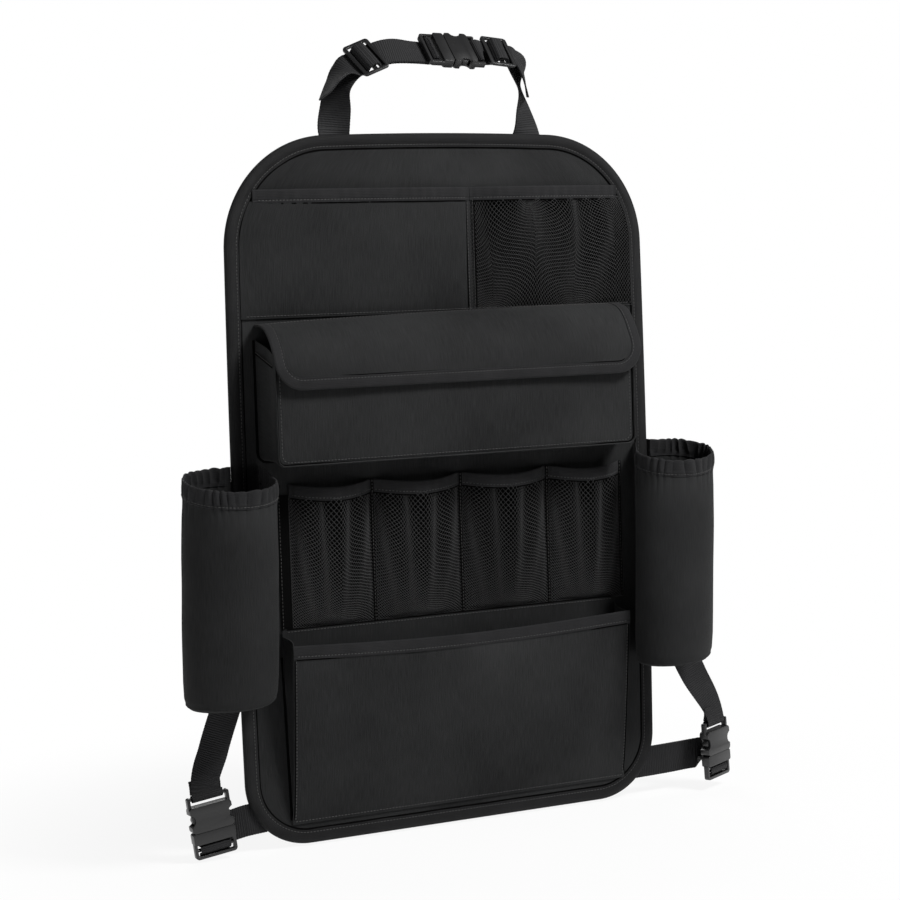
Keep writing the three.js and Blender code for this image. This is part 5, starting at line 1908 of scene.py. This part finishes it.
@dataclass
class Fittings:
    """The sizes of the buckles and sliders that the straps are threaded through, in millimetres."""

    gauge: float = 1.4
    bar: float = 1.5
    gap: float = 0.3
    socket: float = 22.0
    strap_end: float = 8.0
    base: float = 10.0
    slot: float = 3.6
    rail: float = 2.6
    ladder_gauge: float = 4.4
    slider_length: float = 25.0
    slider_gauge: float = 2.6
    slider_bar: float = 3.4

    def __post_init__(self) -> None:
        """Works out where the bars are."""
        self.ladder_bar = self.base + self.slot + self.bar
        self.socket_bar = self.bar - self.socket - self.strap_end
        self.wind = self.bar + self.gap + self.gauge / 2
        self.layer = self.gauge + 0.4
        self.under = self.ladder_gauge / 2 + self.gap + self.gauge / 2

    def half_turn(self, frame: FittingFrame, bar: float, way: int, start: int) -> list[Station]:
        """Half a turn of webbing round a bar, from one side of the fitting to the other."""
        stations = []
        for n in range(7):
            turn = n / 6 * math.pi
            lift, forward = start * math.cos(turn), way * math.sin(turn)
            look = (frame.up * lift + frame.along * forward) * start
            stations.append(Station(frame.at(bar + forward * self.wind, lift * self.wind), look))
        return stations

    def ladder(self, frame: FittingFrame) -> list[Station]:
        """The two layers at a ladder's bar: in behind the end rail, round the bar and out again."""
        middle, rail = self.bar + self.slot / 2, self.bar + self.slot
        beyond, outer = rail + self.rail + 1, self.under + self.layer + 0.2
        inward = [(beyond, -outer), (rail + 0.5, -outer - 0.1), (middle - 0.7, -self.under - 1.1)]
        outward = [
            (middle - 1.3, self.wind - 0.4), (middle, 0.0), (middle + 0.5, 0.4 - self.under),
            (rail + 0.6, -self.under - 0.3), (beyond, -self.under - 0.2),
        ]
        stations = [frame.station(self.ladder_bar + reach, lift) for reach, lift in inward]
        stations += self.half_turn(frame, self.ladder_bar, -1, -1)
        return stations + [frame.station(self.ladder_bar + reach, lift) for reach, lift in outward]

    def slider(self, frame: FittingFrame, way: int, layer: int) -> list[Station]:
        """One layer at a slider: behind its end bars and over its middle bar."""
        nearest = self.slider_gauge / 2 + self.gap + 0.1 + self.gauge / 2
        behind = -nearest - (1 - layer) * self.layer
        over = nearest + layer * self.layer
        end = self.slider_length / 2
        dip = end - self.slider_bar - 1.7 + 0.4 * layer
        half = [
            (end + 2.5, behind), (end - self.slider_bar + 0.3, behind), (dip, behind + 0.5),
            (2.6 + layer, over - 0.3),
        ]
        whole = half + [(0.0, over)] + [(-reach, lift) for reach, lift in reversed(half)]
        return [frame.station(way * reach, lift) for reach, lift in whole]

    def end_bar(self, frame: FittingFrame) -> list[Station]:
        """The two layers at the socket's strap bar."""
        half = self.layer / 2
        inward = [(9.0, half), (4.0, self.wind - 0.5)]
        outward = [(4.0, 0.5 - self.wind), (9.0, -half)]
        stations = [frame.station(self.socket_bar - reach, lift) for reach, lift in inward]
        stations += self.half_turn(frame, self.socket_bar, 1, 1)
        return stations + [frame.station(self.socket_bar - reach, lift) for reach, lift in outward]

    def mould(self, node: str, finishes: Finishes) -> None:
        """Rounds the edges of one plastic piece."""
        source = bpy.data.objects[node]
        piece = source.copy()
        piece.data = source.data.copy()
        piece.name = f"{node}_moulding"
        piece.data.name = piece.name
        bpy.context.scene.collection.objects.link(piece)
        place = piece.matrix_world.copy()
        piece.parent = None
        piece.matrix_world = place
        select_only(piece)
        bpy.ops.object.transform_apply(location=True, rotation=True, scale=True)
        with edited(piece) as made:
            bmesh.ops.remove_doubles(made, verts=made.verts, dist=0.002 * MM)
            bmesh.ops.dissolve_limit(
                made, angle_limit=math.radians(1.0), verts=made.verts, edges=made.edges,
                use_dissolve_boundaries=False,
            )
        apply_modifier(
            piece, "BEVEL", width=0.45 * MM, segments=3, limit_method="ANGLE", angle_limit=math.radians(38),
            harden_normals=False, use_clamp_overlap=True,
        )
        dress(smoothed(piece, 35), finishes.plastic, Slot.PLASTIC, node)


@dataclass(frozen=True)
class SliderPlace:
    """Where a top strap's slider is and how its tail hangs, in millimetres."""

    place: float
    height: float
    slope: float
    forward: float
    reach: float
    fall: float
    tail_forward: float
    tail_look: tuple[float, float, float]


@dataclass
class TopStraps:
    """The two upper straps that meet in a buckle, each with a slider and a hanging tail."""

    panel: Panel
    fittings: Fittings
    webbing: Webbing
    centre: float = -5.0
    spread: float = 92.0
    buckle_place: float = 10.5
    buckle_height: float = 370.0
    depth: float = 7.0
    tilt: float = 45.0
    left: SliderPlace = SliderPlace(-67.0, 363.0, 0.4, 0.0, 28.0, 15.0, 6.0, (-0.74, 0.14, 0.66))
    right: SliderPlace = SliderPlace(58.0, 367.0, -0.1, 3.2, 13.0, 34.0, 0.0, (0.87, -0.44, 0.18))

    def leg(self, side: int, across: float, rise: float, look: tuple[float, float, float]) -> Station:
        """A place on the leg that rises from the panel's top."""
        place = Vector((self.centre + side * across, -self.panel.face / 2, self.panel.height / 2 + rise))
        return Station(place, Vector(look))

    def tail(self, slider: FittingFrame, route: SliderPlace) -> list[Station]:
        """The free end, which leaves the slider and falls as it turns."""
        stations = []
        for share in (0.35, 0.7, 1.0):
            place = slider.at(self.fittings.slider_length / 2 + 4 + route.reach * share, -2.4)
            place += Vector((0.0, -route.tail_forward * share, -route.fall * share**2))
            stations.append(Station(place, slider.up.lerp(Vector(route.tail_look), share**0.5)))
        return stations

    def build(self, finishes: Finishes) -> None:
        """Runs both straps and rounds their fittings."""
        tilt = math.radians(self.tilt)
        look = Vector((0.0, -math.cos(tilt), math.sin(tilt)))
        start = Vector((self.buckle_place, -self.depth, self.buckle_height))
        buckle = FittingFrame(start, Vector((-1.0, 0.0, 0.03)), look)
        for side, route in ((Side.LEFT, self.left), (Side.RIGHT, self.right)):
            way = side.value
            centre = Vector((route.place, -self.depth, route.height)) + look * route.forward
            slider = FittingFrame(centre, Vector((way, 0.0, way * route.slope)), look)
            inner, outer = self.fittings.slider(slider, 1, 0), self.fittings.slider(slider, -1, 1)
            if side is Side.LEFT:
                winding = self.fittings.ladder(buckle)
            else:
                winding = self.fittings.half_turn(buckle, self.fittings.socket_bar, 1, -1)
                inner, outer = inner[:-1], outer[1:]
            stations = [
                self.leg(way, self.spread, -3.0, (0.0, -1.0, 0.0)),
                self.leg(way, self.spread, 4.0, (way * 0.26, -0.97, 0.0)),
                self.leg(way, self.spread - 2, 20.0, (way * 0.6, -0.8, 0.05)),
                self.leg(way, self.spread - 5, 38.0, (way * 0.8, -0.55, 0.25)),
                *inner, *winding, *outer, *self.tail(slider, route),
            ]
            piece = self.webbing.lay(f"top_{side.word}_webbing", stations)
            dress(piece, finishes.webbing, Slot.WEBBING, f"top_{side.word}_strap")
            self.fittings.mould(f"top_{side.word}_slider", finishes)
        for node in ("top_buckle_socket", "top_buckle_latch"):
            self.fittings.mould(node, finishes)


@dataclass
class SideStrap:
    """The two straps at one side that meet in a buckle.

    Attributes:
        panel: The panel that they are sewn to.
        fittings: The buckle's sizes.
        webbing: The webbing.
        side: Which side they are on.
        leaves: The height where the upper strap leaves the panel.
        bar_reach: How far the socket's bar is past the panel's edge.
        bar_height: The bar's height.
        depth: The bar's depth from the back face.
        lean: How far the buckle leans outward as it goes down.
        turned: How far the buckle is turned outward, in degrees.
    """

    panel: Panel
    fittings: Fittings
    webbing: Webbing
    side: Side
    leaves: float
    bar_reach: float
    bar_height: float
    depth: float
    lean: float
    turned: float
    sewn_depth: float = 1.7
    lower_height: float = -272.0

    def buckle(self) -> FittingFrame:
        """Where the buckle is."""
        way, turn = self.side.value, math.radians(self.turned)
        look = Vector((way * math.sin(turn), -math.cos(turn), 0.0))
        along = Vector((way * self.lean, 0.0, -1.0)).normalized()
        return FittingFrame(self.bar() - along * self.fittings.socket_bar, along, look)

    def bar(self) -> Vector:
        """Where the socket's bar is."""
        across = self.side.value * (self.panel.width / 2 + self.bar_reach)
        return Vector((across, -self.depth, self.bar_height))

    def upper(self, buckle: FittingFrame) -> list[Station]:
        """The upper strap from the panel's side to the socket's bar and back up."""
        bar = self.bar()
        edge = Vector((self.side.value * (self.panel.width / 2 + 1.5), -self.sewn_depth, self.leaves))
        reach = Vector((bar.x, -(self.sewn_depth + self.depth) / 2, bar.z + 14)) - edge
        front = Vector((0.0, -1.0, 0.0))
        run = [Station(edge + reach * share, front) for share in (-0.12, 0.3, 0.75)]
        back = buckle.station(self.fittings.socket_bar - 15, -self.fittings.layer / 2)
        return [*run, *self.fittings.end_bar(buckle), back]

    def lower(self, buckle: FittingFrame) -> list[Station]:
        """The lower strap from the panel's corner, by a slanting fold, to the latch's ladder."""
        kit, half = self.fittings, self.webbing.width / 2
        front, way = Vector((0.0, -1.0, 0.0)), self.side.value
        near = kit.ladder_bar - kit.bar - kit.slot / 2
        far = kit.ladder_bar + kit.bar
        slot_place = buckle.at(near, 0.0)
        fold_place = Vector((slot_place.x, -self.sewn_depth, slot_place.z + half - 4))
        corner = Vector((way * (self.panel.width / 2 - 18), -self.sewn_depth, self.lower_height))
        toward = fold_place - corner
        rests = max(self.sewn_depth - self.depth + 0.6, -9.0)
        places = [
            (near - 0.3, rests), (near + 0.2, -kit.under), (near + 0.2, 0.0), (near + 0.9, kit.wind - 0.4),
            (kit.ladder_bar, kit.wind), (kit.ladder_bar + 1.9, kit.wind - 0.4), (far + kit.slot / 2, 0.0),
            (far + kit.slot / 2 + 0.5, -kit.under + 0.4), (far + kit.slot + 0.6, -kit.under - 0.3),
            (far + kit.slot + kit.rail, -kit.under - 0.3),
        ]
        return [
            Station(corner, front),
            Station(corner + toward * 0.4, front),
            Station(fold_place + Vector((-way * (half + 1), 0.0, 0.0)), front),
            Station(fold_place, front, Vector((-way, 0.0, -1.0)).normalized() * way),
            *[buckle.station(reach, lift) for reach, lift in places],
        ]

    def build(self, finishes: Finishes) -> None:
        """Runs both straps and rounds the buckle."""
        buckle, word = self.buckle(), self.side.word
        upper = self.webbing.lay(f"{word}_upper_webbing", self.upper(buckle))
        dress(upper, finishes.webbing, Slot.WEBBING, f"{word}_upper_strap")
        lower = self.webbing.lay(f"{word}_lower_webbing", self.lower(buckle))
        dress(lower, finishes.webbing, Slot.WEBBING, f"{word}_lower_strap")
        for half in ("socket", "latch"):
            self.fittings.mould(f"{word}_buckle_{half}", finishes)


def main() -> None:
    """Builds the organizer from its panel outwards and dresses it."""
    logging.basicConfig(level=logging.INFO, format="%(message)s")
    finishes = Finishes()
    thread = Thread(finishes.thread, finishes.valley)
    panel = Panel()
    webbing, fittings = Webbing(), Fittings()
    Stage().set_up()
    panel.build(finishes, thread)
    UpperPockets(panel).build(finishes, thread)
    NetRow(panel).build(finishes, thread)
    FlapPocket(panel).build(finishes, thread)
    Flap(panel).build(finishes, thread)
    LowerPocket(panel).build(finishes, thread)
    BottleSleeve(panel, Side.LEFT, bottom=-170.5, rim=17.5).build(finishes, thread)
    BottleSleeve(panel, Side.RIGHT, bottom=-176.5, sewn_at=188.0).build(finishes, thread)
    TopStraps(panel, fittings, webbing).build(finishes)
    SideStrap(panel, fittings, webbing, Side.LEFT, -143.0, 36.0, -246.0, 8.2, -0.13, 0.0).build(finishes)
    SideStrap(panel, fittings, webbing, Side.RIGHT, -105.0, 58.0, -240.0, 17.0, 0.05, 25.0).build(finishes)


if __name__ == "__main__":
    main()
